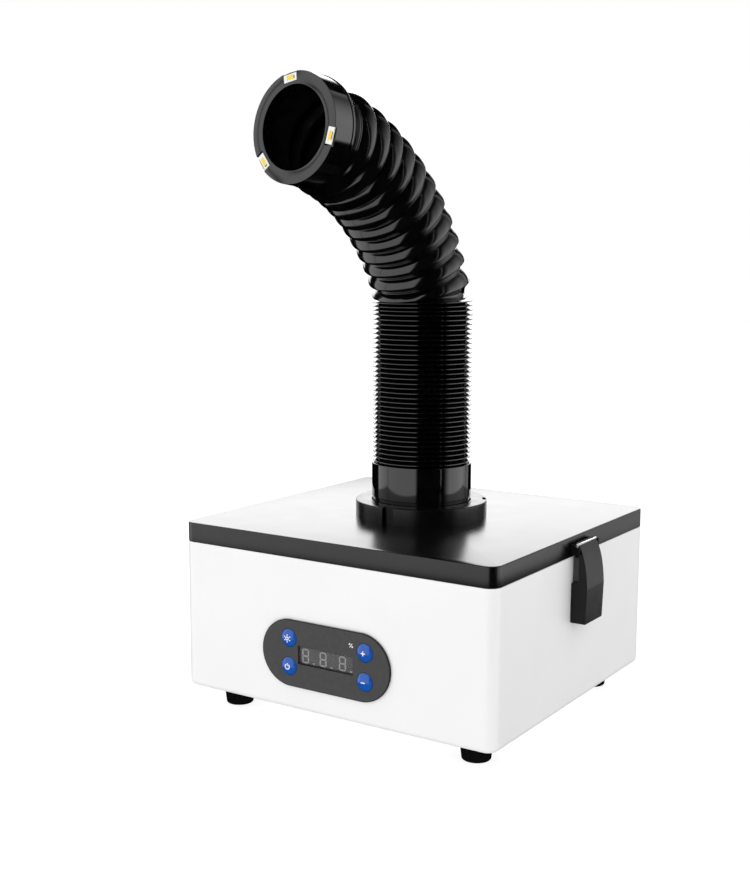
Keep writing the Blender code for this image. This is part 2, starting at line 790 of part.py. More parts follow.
def scroll_outline():
    """The blower casing from above: a spiral that ends in a straight duct to the rear wall."""
    steps = 28
    points = []
    for i in range(steps + 1):
        angle = SCROLL_START + (SCROLL_END - SCROLL_START) * i / steps
        reach = scroll_radius(angle)
        points.append((reach * math.cos(angle), reach * math.sin(angle) + BLOWER_CENTRE.y))
    mouth_y = REAR - BODY_WALL - 1.6 * MM
    points.append((SCROLL_END_RADIUS, mouth_y))
    points.append((19 * MM, mouth_y))
    return points


def make_blower():
    low = BODY_WALL + GAP
    floor = low + 2 * MM
    wall = 2 * MM
    height = BLOWER_TOP - low
    middle = Matrix.Translation((0, 0, low + height / 2))
    housing = add_outline("blower_housing", scroll_outline(), height, INNER_PLASTIC, middle)

    inner = []
    for x, y in scroll_outline()[:-2]:
        away = Vector((x, y - BLOWER_CENTRE.y))
        inward = away * (1 - wall / away.length)
        inner.append((inward.x, inward.y + BLOWER_CENTRE.y))
    inner.append((SCROLL_END_RADIUS - wall, REAR))
    inner.append((19 * MM + wall, REAR))
    hollow_height = 60 * MM
    raised = Matrix.Translation((0, 0, floor + hollow_height / 2))
    hollow = add_outline("blower_hollow", inner, hollow_height, INNER_PLASTIC, raised)
    boolean(housing, made_cutter(hollow))
    smooth(housing)

    make_motor(floor + GAP)
    make_impeller()


def make_motor(low):
    profile = [
        (0, 28 * MM),
        (2.5 * MM, 28 * MM),
        (2.5 * MM, 21 * MM),
        (8 * MM, 21 * MM),
        (24 * MM, 19.5 * MM),
        (24 * MM, low + 2.5 * MM),
        (29 * MM, low + 2.5 * MM),
        (29 * MM, low),
        (0, low),
    ]
    frame = Matrix.Translation(BLOWER_CENTRE)
    smooth(applied(add_turned("fan_motor", profile, 24, STEEL, frame, closed=False)))


def make_impeller():
    """A backplate that rises over the motor, blades round its rim, and a shroud ring on top of them."""
    frame = Matrix.Translation(BLOWER_CENTRE)
    plate_low, plate_high = 9 * MM, 11 * MM
    shroud_low, shroud_high = 36 * MM, 38 * MM
    hub_top = 25 * MM
    plate = [
        (2.8 * MM, hub_top),
        (22 * MM, hub_top),
        (28 * MM, hub_top - 5 * MM),
        (34 * MM, plate_high),
        (IMPELLER_RADIUS, plate_high),
        (IMPELLER_RADIUS, plate_low),
        (32.5 * MM, plate_low),
        (26.2 * MM, hub_top - 6 * MM),
        (21 * MM, hub_top - 2 * MM),
        (2.8 * MM, hub_top - 2 * MM),
    ]
    impeller = applied(add_turned("impeller", plate, 40, INNER_PLASTIC, frame))
    shroud = [
        (IMPELLER_RADIUS, shroud_high),
        (IMPELLER_RADIUS, shroud_low),
        (52 * MM, shroud_low),
        (52 * MM, shroud_high),
    ]
    ring = applied(add_turned("shroud", shroud, 40, INNER_PLASTIC, frame))

    def blades(bm):
        height = shroud_low - plate_high + 2 * MM
        for i in range(BLADE_COUNT):
            verts = cube(bm, (11 * MM, 1.4 * MM, height))
            lean = Matrix.Rotation(math.radians(38), 4, "Z")
            out = Matrix.Translation((58.6 * MM, 0, (shroud_low + plate_high) / 2))
            round_hub = Matrix.Rotation(2 * math.pi * i / BLADE_COUNT, 4, "Z")
            bmesh.ops.transform(bm, matrix=round_hub @ out @ lean, verts=verts)

    vanes = add_cutter("blades", mesh_from("blades", blades), frame)
    boolean(impeller, vanes, "UNION")
    boolean(impeller, made_cutter(ring), "UNION")
    smooth(impeller)


def make_filters():
    """A shelf with an upright partition carries three filter layers above the blower's eye."""
    x_reach = BODY_WIDTH / 2 - 6 * MM
    rear = REAR - 5 * MM
    shelf_high = SHELF_Z + SHELF_THICKNESS
    partition_high = 106 * MM
    outline = [
        (PARTITION_Y, SHELF_Z),
        (rear, SHELF_Z),
        (rear, shelf_high),
        (PARTITION_Y + 2 * MM, shelf_high),
        (PARTITION_Y + 2 * MM, partition_high),
        (PARTITION_Y, partition_high),
    ]
    sideways = Matrix(((0, 0, 1, 0), (1, 0, 0, 0), (0, 1, 0, 0), (0, 0, 0, 1)))
    shelf = add_outline("filter_shelf", outline, 2 * x_reach, INNER_PLASTIC, sideways)
    eye = Matrix.Translation((BLOWER_CENTRE.x, BLOWER_CENTRE.y, SHELF_Z))
    cut_round(shelf, 50 * MM, 20 * MM, eye, steps=40)
    smooth(shelf)

    layers = (
        ("carbon_filter", 46.3, 66, FILTER_CARBON),
        ("hepa_filter", 66.3, 90, FILTER_WHITE),
        ("prefilter", 90.3, 100, FILTER_WHITE),
    )
    for name, low, high, material in layers:
        low_corner = FILTER_LOW + Vector((0, 0, low * MM))
        high_corner = FILTER_HIGH + Vector((0, 0, high * MM))
        add_block(name, low_corner, high_corner, material, bevel=2 * MM)


def make_grille():
    x, z = EXHAUST_CENTRE
    half_w, half_h = EXHAUST_SIZE[0] / 2 + 5 * MM, EXHAUST_SIZE[1] / 2 + 3.4 * MM
    low = (x - half_w, REAR + GAP, z - half_h)
    high = (x + half_w, REAR + 2.2 * MM, z + half_h)
    grille = add_block("exhaust_grille", low, high, BLACK_GLOSS)
    pitch = EXHAUST_SIZE[1] / GRILLE_SLOTS
    for i in range(GRILLE_SLOTS):
        middle = z + (i - (GRILLE_SLOTS - 1) / 2) * pitch
        slot_w = EXHAUST_SIZE[0] / 2 - 2 * MM
        slot_h = 1.6 * MM
        cut_block(
            grille,
            (x - slot_w, REAR - 5 * MM, middle - slot_h),
            (x + slot_w, REAR + 5 * MM, middle + slot_h),
        )


def make_inlet():
    """A three-pin appliance inlet, with its socket open to the rear."""
    x, z = INLET_CENTRE
    half_w, half_h = INLET_BODY[0] / 2, INLET_BODY[1] / 2
    depth = 24 * MM
    inlet = add_block(
        "power_inlet",
        (x - half_w, REAR - depth, z - half_h),
        (x + half_w, REAR + 2.4 * MM, z + half_h),
        BLACK_GLOSS,
    )
    flange = mesh_from("inlet_flange", lambda bm: cube(bm, (31 * MM, 2.1 * MM, 24 * MM)))
    place = Matrix.Translation((x, REAR + GAP + 1.05 * MM, z))
    boolean(inlet, add_cutter("inlet_flange", flange, place), "UNION")
    cut_block(
        inlet,
        (x - 11.9 * MM, REAR - 14 * MM, z - 7.9 * MM),
        (x + 11.9 * MM, REAR + 6 * MM, z + 7.9 * MM),
    )
    for name, pin_x, pin_z in (("live", 7, -2), ("neutral", -7, -2), ("earth", 0, 2)):
        centre_x, centre_z = x + pin_x * MM, z + pin_z * MM
        slot = Vector((1 * MM + GAP, 30 * MM, 2 * MM + GAP))
        cut_block(
            inlet,
            (centre_x - slot.x, REAR - slot.y, centre_z - slot.z),
            (centre_x + slot.x, REAR - 10 * MM, centre_z + slot.z),
        )
        add_block(
            f"inlet_pin_{name}",
            (centre_x - 1 * MM, REAR - 30 * MM, centre_z - 2 * MM),
            (centre_x + 1 * MM, REAR - 1 * MM, centre_z + 2 * MM),
            BRASS,
        )


def make_power_supply():
    low = (-128 * MM, -92 * MM, BODY_WALL + 1.5 * MM)
    high = (-84 * MM, -64 * MM, 28 * MM)
    add_block("power_supply", low, high, INNER_PLASTIC, 1 * MM)


make_body()
make_feet()
make_lid()
make_collar()
make_cuff()
make_packed_hose()
make_nozzle(make_bent_hose())
make_latch(1, "right")
make_latch(-1, "left")
make_panel()
make_buttons()
make_control_board()
make_blower()
make_filters()
make_grille()
make_inlet()
make_power_supply()
bpy.context.view_layer.update()
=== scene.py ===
"""Looks of the solder fume extractor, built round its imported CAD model.

The frame's origin is the middle of the box's underside, +Z is up and the control panel faces -Y.
Sizes are in metres. A station is a distance along the hose, from the point where it starts to bend.
"""

from math import cos, pi, radians, sin, tan

import bmesh
import bpy
from mathutils import Matrix, Vector


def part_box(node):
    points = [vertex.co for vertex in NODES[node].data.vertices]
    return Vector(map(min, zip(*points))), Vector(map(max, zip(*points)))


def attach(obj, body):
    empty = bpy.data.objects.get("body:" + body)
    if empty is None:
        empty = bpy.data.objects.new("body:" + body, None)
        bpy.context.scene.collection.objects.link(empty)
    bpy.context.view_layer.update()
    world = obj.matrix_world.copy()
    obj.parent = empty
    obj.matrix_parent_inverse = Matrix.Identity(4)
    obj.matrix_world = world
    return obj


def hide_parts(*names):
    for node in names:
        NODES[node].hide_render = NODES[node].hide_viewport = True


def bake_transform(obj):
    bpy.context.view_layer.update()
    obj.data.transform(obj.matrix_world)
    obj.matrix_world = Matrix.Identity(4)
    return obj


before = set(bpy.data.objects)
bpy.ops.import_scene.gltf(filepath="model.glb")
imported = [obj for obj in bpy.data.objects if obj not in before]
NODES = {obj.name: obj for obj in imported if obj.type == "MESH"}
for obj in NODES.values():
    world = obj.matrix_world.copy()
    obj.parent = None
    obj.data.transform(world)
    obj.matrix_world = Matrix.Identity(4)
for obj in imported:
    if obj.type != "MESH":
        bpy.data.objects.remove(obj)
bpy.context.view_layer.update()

MM = 0.001
GAP = 0.3 * MM

# Camera
CAMERA_PLACE = (0.52218, -0.85752, 0.32805)
CAMERA_AZIMUTH = 33.43
CAMERA_ELEVATION = 8.28
CAMERA_ROLL = 0.18
CAMERA_LENS = 51.97

# Box and lid
BODY_LOW, BODY_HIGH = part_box("body_shell")
LID_LOW, LID_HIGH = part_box("lid")
WALL = 2.6 * MM
LID_WALL = 3 * MM
CORNER_RADIUS = 9 * MM
FLOOR_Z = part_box("foot_front_left")[0].z
FOOT_BORE = 2.3 * MM
FEET = [f"{end}_{side}" for end in ("front", "rear") for side in ("left", "right")]

# Openings in the rear wall: the low and the high corner, (x, z)
EXHAUST_HOLE = ((21 * MM, 7 * MM), (105 * MM, 39 * MM))
INLET_HOLE = ((-111.6 * MM, 15.9 * MM), (-84.4 * MM, 36.1 * MM))

# Collar and cuff
CUFF_RADIUS = 38.9 * MM
CUFF_BORE = 34 * MM
GROOVE_RADIUS = 43.6 * MM
NOTCH_WIDTH = 9.5 * MM
NOTCH_DEPTH = 3.5 * MM
FIRST_NOTCH_TURN = radians(1.6)

# Hose
BEND_START = 287 * MM
BEND_HEADING = radians(-6.2)
TIGHT_RADIUS = 70 * MM
TIGHT_ANGLE = radians(23.1)
WIDE_RADIUS = 168 * MM
RING_COUNT = 11
FIRST_CREST = 20.3 * MM
CREST_PITCH = 14.8 * MM
FIRST_RING_RADIUS = 37.9 * MM
RING_RADIUS = 38.6 * MM
PACKED_LOW = 171.4 * MM
PACKED_HIGH = 288.3 * MM
PACKED_CREST = 38.4 * MM
PACKED_VALLEY = 33.9 * MM
PACKED_RIDGES = 32
LOOSE_RIDGES = 3
LOOSE_PITCH = 3.3 * MM
FLAT_FOLDS = 11 * MM
SKIN = 0.9 * MM
HOSE_STEPS = 96

# Nozzle
NOZZLE_STATION = 209 * MM
NOZZLE_LENGTH = 20 * MM
NOZZLE_RADIUS = 38 * MM
NOZZLE_BORE = 28.7 * MM
LED_SIZE = Vector((11.5, 5.2, 1.2)) * MM
LED_RADIUS = 33.9 * MM
LED_ANGLES = (100, -12, -141)
LED_MARKS = (((3.3, -1.2), (4.1, 1.2)), ((-2.6, 1.75), (2.4, 2.3)), ((-4.3, -1.2), (-3.5, 1.2)))

# Latches
LATCH_Y = (-10.6 * MM, 19.2 * MM)
LATCH_PIVOT = (4.5 * MM, 122.7 * MM)
LATCH_PIN_RADIUS = 1.5 * MM
CATCH_DEPTH = 5.7 * MM
CATCH_Z = (95 * MM, 113.4 * MM)

# Control panel
PANEL_LOW, PANEL_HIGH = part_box("control_panel")
PANEL_CENTRE = ((PANEL_LOW + PANEL_HIGH) / 2).xz
PANEL_SIZE = (PANEL_HIGH.x - PANEL_LOW.x, PANEL_HIGH.z - PANEL_LOW.z)
BUTTON_RADIUS = 6.65 * MM
BUTTON_DOME = 2.4 * MM
BUTTONS = ("light", "power", "plus", "minus")
DIGIT_X = (-19.5 * MM, -3.9 * MM, 13.1 * MM)
DIGIT_Z = 42.6 * MM
PERCENT_PLACE = (21.6 * MM, 57.9 * MM)
FILM = 0.2 * MM

# Studio: angles in degrees, azimuths from -Y towards +X and elevations from the horizon.
# Each panel: azimuth of the left edge and its softness, the same on the right, then the same for the
# elevations of the lower and upper edge, and its strength.
PANELS = (
    (-86.5, 1, -52.6, 0.6, -21, 1, 62, 4, 2.3),
    (-51.4, 0.6, 19.3, 3, -21, 1, 62, 4, 2.3),
    (92, 9, 150, 20, -15.5, 2.5, 38, 28, 2.9),
    (160, 6, 168.4, 0.8, -21, 1, 62, 4, 0.9),
    (75.9, 0.5, 77.6, 0.5, -9.5, 0.7, 62, 4, 2.4),
    (-185, 3, -112, 3, 2, 1.5, 32, 4, 3.3),
    (-185, 3, -112, 3, 12, 7, 32, 4, 1.9),
)
FILL = (1.145, 0.01, -0.225, -0.1)


def new_mesh(name, build):
    """Make a mesh by running build(bm) on an empty bmesh."""
    bm = bmesh.new()
    build(bm)
    bmesh.ops.recalc_face_normals(bm, faces=bm.faces)
    mesh = bpy.data.meshes.new(name)
    bm.to_mesh(mesh)
    bm.free()
    return mesh


def new_object(name, data):
    obj = bpy.data.objects.new(name, data)
    bpy.context.scene.collection.objects.link(obj)
    return obj


def after_modifiers(mesh, add_modifiers):
    """The mesh as it is after the modifiers that add_modifiers(obj) gives it."""
    obj = new_object("work", mesh)
    add_modifiers(obj)
    bpy.context.view_layer.update()
    graph = bpy.context.evaluated_depsgraph_get()
    result = bpy.data.meshes.new_from_object(obj.evaluated_get(graph))
    bpy.data.objects.remove(obj)
    return result


def carved(mesh, *cutters, operation="DIFFERENCE"):
    """The mesh with the cutter meshes taken away from it, or joined to it."""
    tools = []

    def add_booleans(obj):
        for cutter in cutters:
            tool = new_object("tool", cutter)
            tools.append(tool)
            step = obj.modifiers.new("carve", "BOOLEAN")
            step.operation = operation
            step.solver = "EXACT"
            step.object = tool

    result = after_modifiers(mesh, add_booleans)
    for tool in tools:
        bpy.data.objects.remove(tool)
    return result


def softened(mesh, width, segments=2, angle=35):
    """The mesh with its sharp edges rounded, shaded so that its flat faces stay flat."""
    mesh.shade_smooth()

    def add_bevel(obj):
        bevel = obj.modifiers.new("edges", "BEVEL")
        bevel.width = width
        bevel.segments = segments
        bevel.limit_method = "ANGLE"
        bevel.angle_limit = radians(angle)
        flat = obj.modifiers.new("normals", "WEIGHTED_NORMAL")
        flat.keep_sharp = True

    return after_modifiers(mesh, add_bevel)


def shaded(mesh, angle=35):
    mesh.shade_smooth()
    mesh.set_sharp_from_angle(angle=radians(angle))
    return mesh


def add_box(bm, low, high):
    low, high = Vector(low), Vector(high)
    placed = Matrix.Translation((low + high) / 2) @ Matrix.Diagonal((*(high - low), 1))
    bmesh.ops.create_cube(bm, size=1, matrix=placed)


def box_mesh(low, high):
    return new_mesh("box", lambda bm: add_box(bm, low, high))


def rounded_box(bm, low, high, upright, top=0.0, bottom=0.0):
    """A box with rounded upright edges, and rounded rims where a radius is given."""
    add_box(bm, low, high)
    standing = [e for e in bm.edges if abs(e.verts[0].co.z - e.verts[1].co.z) > 1e-6]
    bmesh.ops.bevel(bm, geom=standing, offset=upright, segments=10, profile=0.5, affect="EDGES")
    for level, radius in ((high[2], top), (low[2], bottom)):
        if radius:
            rim = [e for e in bm.edges if all(abs(v.co.z - level) < 1e-6 for v in e.verts)]
            bmesh.ops.bevel(bm, geom=rim, offset=radius, segments=4, profile=0.5, affect="EDGES")


def rounded_box_mesh(low, high, upright, **radii):
    return new_mesh("box", lambda bm: rounded_box(bm, low, high, upright, **radii))


def in_metres(points):
    """Points given in millimetres."""
    return [tuple(value * MM for value in point) for point in points]


def filleted(points, radius, steps=3):
    """A closed outline with its corners rounded. A point may give its own radius as a third number."""
    result = []
    count = len(points)
    for i, (x, y, *own) in enumerate(points):
        corner = Vector((x, y))
        before = Vector(points[i - 1][:2]) - corner
        after = Vector(points[(i + 1) % count][:2]) - corner
        size = own[0] if own else radius
        turn = before.angle(after)
        if size == 0 or turn > radians(178):
            result.append((x, y))
            continue
        reach = min(size / tan(turn / 2), 0.45 * before.length, 0.45 * after.length)
        start = corner + before.normalized() * reach
        end = corner + after.normalized() * reach
        for step in range(steps + 1):
            t = step / steps
            point = start * (1 - t) ** 2 + corner * 2 * t * (1 - t) + end * t**2
            result.append((point.x, point.y))
    return result


def arc(centre, radius, start, end, steps):
    angles = [radians(start + (end - start) * i / steps) for i in range(steps + 1)]
    return [(centre[0] + radius * cos(a), centre[1] + radius * sin(a)) for a in angles]


def smooth_line(points, steps):
    """A smooth curve through the points, with some steps between each two."""
    result = []
    for i in range(len(points) - 1):
        before = Vector(points[max(i - 1, 0)])
        start, end = Vector(points[i]), Vector(points[i + 1])
        after = Vector(points[min(i + 2, len(points) - 1)])
        for step in range(steps):
            t = step / steps
            point = 0.5 * (
                2 * start
                + (end - before) * t
                + (2 * before - 5 * start + 4 * end - after) * t**2
                + (3 * start - before - 3 * end + after) * t**3
            )
            result.append(tuple(point))
    result.append(tuple(points[-1]))
    return result


def turned(profile, steps=64, place=None):
    """A solid turned round Z from a closed outline of (radius, height), which may touch the axis."""

    def at(radius, height, turn):
        point = Vector((radius * cos(turn), radius * sin(turn), height))
        return place(point) if place else point

    def build(bm):
        rings = []
        for radius, height in profile:
            if radius < 1e-7:
                rings.append([bm.verts.new(at(0, height, 0))] * steps)
            else:
                turns = [2 * pi * i / steps for i in range(steps)]
                rings.append([bm.verts.new(at(radius, height, turn)) for turn in turns])
        for i, ring in enumerate(rings):
            following = rings[(i + 1) % len(rings)]
            if ring[0] is ring[1] and following[0] is following[1]:
                continue
            for j in range(steps):
                k = (j + 1) % steps
                corners = [ring[j], ring[k], following[k], following[j]]
                bm.faces.new(list(dict.fromkeys(corners)))

    return new_mesh("turned", build)


def add_swept(bm, rows):
    """Join closed rows of points one after another, and shut both ends."""
    for row, following in zip(rows, rows[1:]):
        for j in range(len(row)):
            k = (j + 1) % len(row)
            bm.faces.new((row[j], row[k], following[k], following[j]))
    bm.faces.new(rows[0])
    bm.faces.new(reversed(rows[-1]))


def extruded(outline, thickness):
    """A flat closed outline in the XY plane, extruded half its thickness each way along Z."""

    def build(bm):
        verts = [bm.verts.new((x, y, -thickness / 2)) for x, y in outline]
        face = bm.faces.new(verts)
        made = bmesh.ops.extrude_face_region(bm, geom=[face])
        moved = [item for item in made["geom"] if isinstance(item, bmesh.types.BMVert)]
        bmesh.ops.translate(bm, verts=moved, vec=(0, 0, thickness))

    return new_mesh("extruded", build)


def stadium(width, height, steps=24):
    radius = height / 2
    reach = width / 2 - radius
    return arc((reach, 0), radius, -90, 90, steps) + arc((-reach, 0), radius, 90, 270, steps)


def middle_of(node):
    low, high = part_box(node)
    return (low + high) / 2


def add_piece(name, mesh, material, body=None, replaces=(), place=None):
    """A visible piece. It rides on a body, when one is given."""
    piece = new_object(name, mesh)
    mesh.materials.clear()
    mesh.materials.append(material)
    if place is not None:
        piece.matrix_world = place
    if replaces:
        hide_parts(*replaces)
    if body:
        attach(piece, body)
    return piece


# --- materials


def set_sockets(node, values):
    """Set a node's sockets by name, where _ stands for a space."""
    for socket, value in values.items():
        node.inputs[socket.replace("_", " ")].default_value = value


def add_node(tree, kind, **values):
    node = tree.nodes.new(f"ShaderNode{kind}")
    set_sockets(node, values)
    return node


def shader_of(material):
    return material.node_tree.nodes["Principled BSDF"]


def new_material(name, color, roughness, **values):
    material = bpy.data.materials.new(name)
    material.use_nodes = True
    set_sockets(shader_of(material), {"Base_Color": (*color, 1), "Roughness": roughness, **values})
    return material


def add_noise(material, scale, detail=3.0, stretch=(1, 1, 1), kind="TexNoise"):
    """A noise over the object's own coordinates. Its scale is in cycles per metre."""
    tree = material.node_tree
    coordinates = add_node(tree, "TexCoord")
    mapping = add_node(tree, "Mapping", Scale=stretch)
    texture = add_node(tree, kind, Scale=scale, Detail=detail)
    tree.links.new(coordinates.outputs["Object"], mapping.inputs["Vector"])
    tree.links.new(mapping.outputs["Vector"], texture.inputs["Vector"])
    return texture


def vary(material, socket, scale, low, high, stretch=(1, 1, 1)):
    """Let a number vary between two values with a noise."""
    tree = material.node_tree
    texture = add_noise(material, scale, stretch=stretch)
    spread = add_node(tree, "MapRange", From_Min=0.3, From_Max=0.7, To_Min=low, To_Max=high)
    tree.links.new(texture.outputs["Fac"], spread.inputs["Value"])
    tree.links.new(spread.outputs["Result"], shader_of(material).inputs[socket])


def color_ramp(material, value, low, first, high, second):
    """Let the base colour go from the first to the second while a value rises from low to high."""
    tree = material.node_tree
    ramp = add_node(tree, "ValToRGB")
    for element, place, color in zip(ramp.color_ramp.elements, (low, high), (first, second)):
        element.position = place
        element.color = (*color, 1)
    tree.links.new(value, ramp.inputs["Fac"])
    tree.links.new(ramp.outputs["Color"], shader_of(material).inputs["Base Color"])


def vary_color(material, scale, first, second, detail=3.0, stretch=(1, 1, 1)):
    texture = add_noise(material, scale, detail, stretch)
    color_ramp(material, texture.outputs["Fac"], 0.35, first, 0.65, second)


def add_bump(material, scale, height, strength=1.0, detail=3.0, stretch=(1, 1, 1)):
    """Raise the surface with a noise. Bumps add up when this is called more than once."""
    tree = material.node_tree
    normal = shader_of(material).inputs["Normal"]
    texture = add_noise(material, scale, detail, stretch)
    bump = add_node(tree, "Bump", Strength=strength, Distance=height)
    tree.links.new(texture.outputs["Fac"], bump.inputs["Height"])
    if normal.is_linked:
        tree.links.new(normal.links[0].from_socket, bump.inputs["Normal"])
    tree.links.new(bump.outputs["Normal"], normal)


def color_of(shade):
    """A grey may be given as one number."""
    return (shade, shade, shade) if isinstance(shade, float) else shade


def textured(name, shades, roughness, grain, specular=0.5, metallic=0.0, detail=3.0, stretch=(1, 1, 1)):
    """A material whose colour and roughness wander between two values, with a fine grain in its surface.

    shades and roughness hold the two values and the scale of their noise, grain holds the scale of the
    bumps, their height in mm and their strength. The stretch is for the grain alone.
    """
    first, second = color_of(shades[0]), color_of(shades[1])
    low, high, scale = roughness
    color = [(a + b) / 2 for a, b in zip(first, second)]
    sockets = {"Specular_IOR_Level": specular, "Metallic": metallic}
    material = new_material(name, color, (low + high) / 2, **sockets)
    vary_color(material, shades[2], first, second, detail)
    vary(material, "Roughness", scale, low, high)
    add_bump(material, grain[0], grain[1] * MM, grain[2], detail, stretch)
    return material


def make_window_smoke():
    material = new_material("window_smoke", (0.1, 0.1, 0.102), 0.2, Specular_IOR_Level=0.2, Alpha=0.15)
    vary(material, "Roughness", 200, 0.17, 0.24)
    add_bump(material, 700, 0.005 * MM, 0.1)
    return material


def make_steel():
    """Drawn steel with fine lines along Y."""
    material = new_material("steel", (0.72, 0.72, 0.73), 0.2, Metallic=1.0)
    vary(material, "Roughness", 900, 0.14, 0.3, stretch=(1, 0.05, 1))
    vary_color(material, 400, (0.66, 0.66, 0.67), (0.76, 0.76, 0.77), stretch=(1, 0.1, 1))
    add_bump(material, 2500, 0.005 * MM, 0.3, stretch=(1, 0.05, 1))
    return material


def make_board_green():
    """Solder mask over copper tracks, which stand a little proud of the laminate."""
    material = new_material("board_green", (0.015, 0.13, 0.05), 0.35)
    cells = add_noise(material, 260, kind="TexVoronoi")
    cells.distance = "MANHATTAN"
    color_ramp(material, cells.outputs["Distance"], 0.3, (0.01, 0.09, 0.035), 0.42, (0.02, 0.17, 0.07))
    vary(material, "Roughness", 300, 0.28, 0.42)
    add_bump(material, 900, 0.02 * MM, 0.3)
    return material


def make_filter_white():
    """Non-woven fibres: matted strands with a soft sheen."""
    material = new_material("filter_white", (0.8, 0.8, 0.77), 0.95, Sheen_Weight=0.3)
    vary_color(material, 900, (0.66, 0.66, 0.63), (0.86, 0.86, 0.83), detail=8, stretch=(1, 0.25, 1))
    add_bump(material, 700, 0.25 * MM, 0.8, detail=8, stretch=(1, 0.2, 1))
    add_bump(material, 1600, 0.1 * MM, 0.6, detail=6, stretch=(0.3, 1, 1))
    return material


# Painted sheet: a faint orange peel under a satin gloss
WHITE_SHELL = textured("white_shell", (0.85, (0.87, 0.87, 0.868), 18), (0.28, 0.36, 60), (900, 0.02, 0.35))

# Black mouldings: the lid blurs what it reflects, the polished one has faint flow lines round its axis
LID_BLACK = textured("lid_black", (0.0015, 0.003, 120), (0.235, 0.25, 45), (2600, 0.006, 0.3), 0.38)
SATIN_BLACK = textured("satin_black", (0.0015, 0.003, 150), (0.13, 0.2, 80), (2200, 0.006, 0.3), 0.25)
MATTE_BLACK = textured("matte_black", (0.002, 0.005, 200), (0.42, 0.58, 300), (1800, 0.015, 0.4), 0.1)
FOOT_BLACK = textured("foot_black", (0.003, 0.006, 300), (0.1, 0.16, 200), (1200, 0.01, 0.3), 0.4)
HOSE_INSIDE = textured("hose_inside", (0.002, 0.005, 90), (0.5, 0.7, 150), (900, 0.03, 0.4), 0.1)
RUBBER = textured("rubber", (0.011, 0.02, 400), (0.4, 0.6, 250), (1800, 0.03, 0.5), 0.4)
COLLAR_BLACK = textured(
    "collar_black", (0.0015, 0.0025, 150), (0.23, 0.29, 80), (250, 0.01, 0.2), 0.2, stretch=(1, 1, 3)
)
POLISHED_BLACK = textured(
    "polished_black", (0.001, 0.002, 90), (0.06, 0.1, 70), (300, 0.01, 0.2), stretch=(1, 1, 4)
)

# Blown polyethylene: semi-gloss with small waves and a fine haze
HOSE_BLACK = textured("hose_black", (0.001, 0.0025, 70), (0.09, 0.15, 110), (140, 0.05, 0.25))
add_bump(HOSE_BLACK, 1500, 0.008 * MM, 0.3)

# Control panel: a printed film with a velvet grain, a smoked window and an unlit display behind it
PANEL_SHADES = ((0.047, 0.047, 0.048), (0.054, 0.054, 0.055), 300)
PANEL_GREY = textured("panel_grey", PANEL_SHADES, (0.45, 0.58, 500), (4000, 0.01, 0.5), 0.25)
WINDOW_SMOKE = make_window_smoke()
MODULE_SHADES = ((0.095, 0.093, 0.093), (0.106, 0.104, 0.104), 500)
MODULE_GREY = textured("module_grey", MODULE_SHADES, (0.4, 0.5, 400), (2500, 0.01, 0.3))
SEGMENT_SHADES = ((0.43, 0.42, 0.42), (0.47, 0.46, 0.46), 900)
SEGMENT_WHITE = textured("segment_white", SEGMENT_SHADES, (0.35, 0.48, 700), (3000, 0.01, 0.3))
BLUE_SHADES = ((0.003, 0.075, 0.38), (0.005, 0.085, 0.42), 150)
BUTTON_BLUE = textured("button_blue", BLUE_SHADES, (0.13, 0.2, 300), (1500, 0.01, 0.2), 0.42)
MARK_SHADES = ((0.83, 0.84, 0.85), (0.89, 0.9, 0.91), 1500)
MARK_WHITE = textured("mark_white", MARK_SHADES, (0.35, 0.5, 900), (3000, 0.01, 0.3))

# Lamps: a white package, and silicone filled with yellow phosphor grains
LED_SHADES = ((0.82, 0.82, 0.8), (0.88, 0.88, 0.86), 1200)
LED_WHITE = textured("led_white", LED_SHADES, (0.3, 0.42, 900), (3000, 0.01, 0.3))
PHOSPHOR_SHADES = ((0.82, 0.55, 0.03), (0.95, 0.74, 0.08), 3500)
PHOSPHOR = textured("phosphor", PHOSPHOR_SHADES, (0.28, 0.42, 2000), (5000, 0.02, 0.3))

# Metals, boards and the parts inside
STEEL = make_steel()
BRASS_SHADES = ((0.72, 0.54, 0.26), (0.82, 0.64, 0.34), 300)
BRASS = textured("brass", BRASS_SHADES, (0.2, 0.36, 700), (2000, 0.006, 0.3), metallic=1.0)
BOARD_GREEN = make_board_green()
PLASTIC_SHADES = ((0.04, 0.04, 0.043), (0.055, 0.055, 0.058), 60)
INNER_PLASTIC = textured("inner_plastic", PLASTIC_SHADES, (0.38, 0.55, 200), (1500, 0.02, 0.4))
FILTER_WHITE = make_filter_white()

# Open foam filled with carbon grains
FILTER_CARBON = textured("filter_carbon", (0.008, 0.045, 700), (0.6, 1.0, 900), (800, 0.5, 0.9), detail=6)


def finish_cad_nodes():
    """Give the CAD nodes that stay visible their finished material."""
    kept = (
        (RUBBER, "lid_seal"),
        (BOARD_GREEN, "control_board", "nozzle_led_board"),
        (INNER_PLASTIC, "blower_housing", "impeller", "filter_shelf", "power_supply"),
        (STEEL, "fan_motor"),
        (FILTER_WHITE, "hepa_filter"),
        (FILTER_CARBON, "carbon_filter"),
    )
    for material, *nodes in kept:
        for node in nodes:
            for place in NODES[node].material_slots:
                place.material = material


# --- box and lid


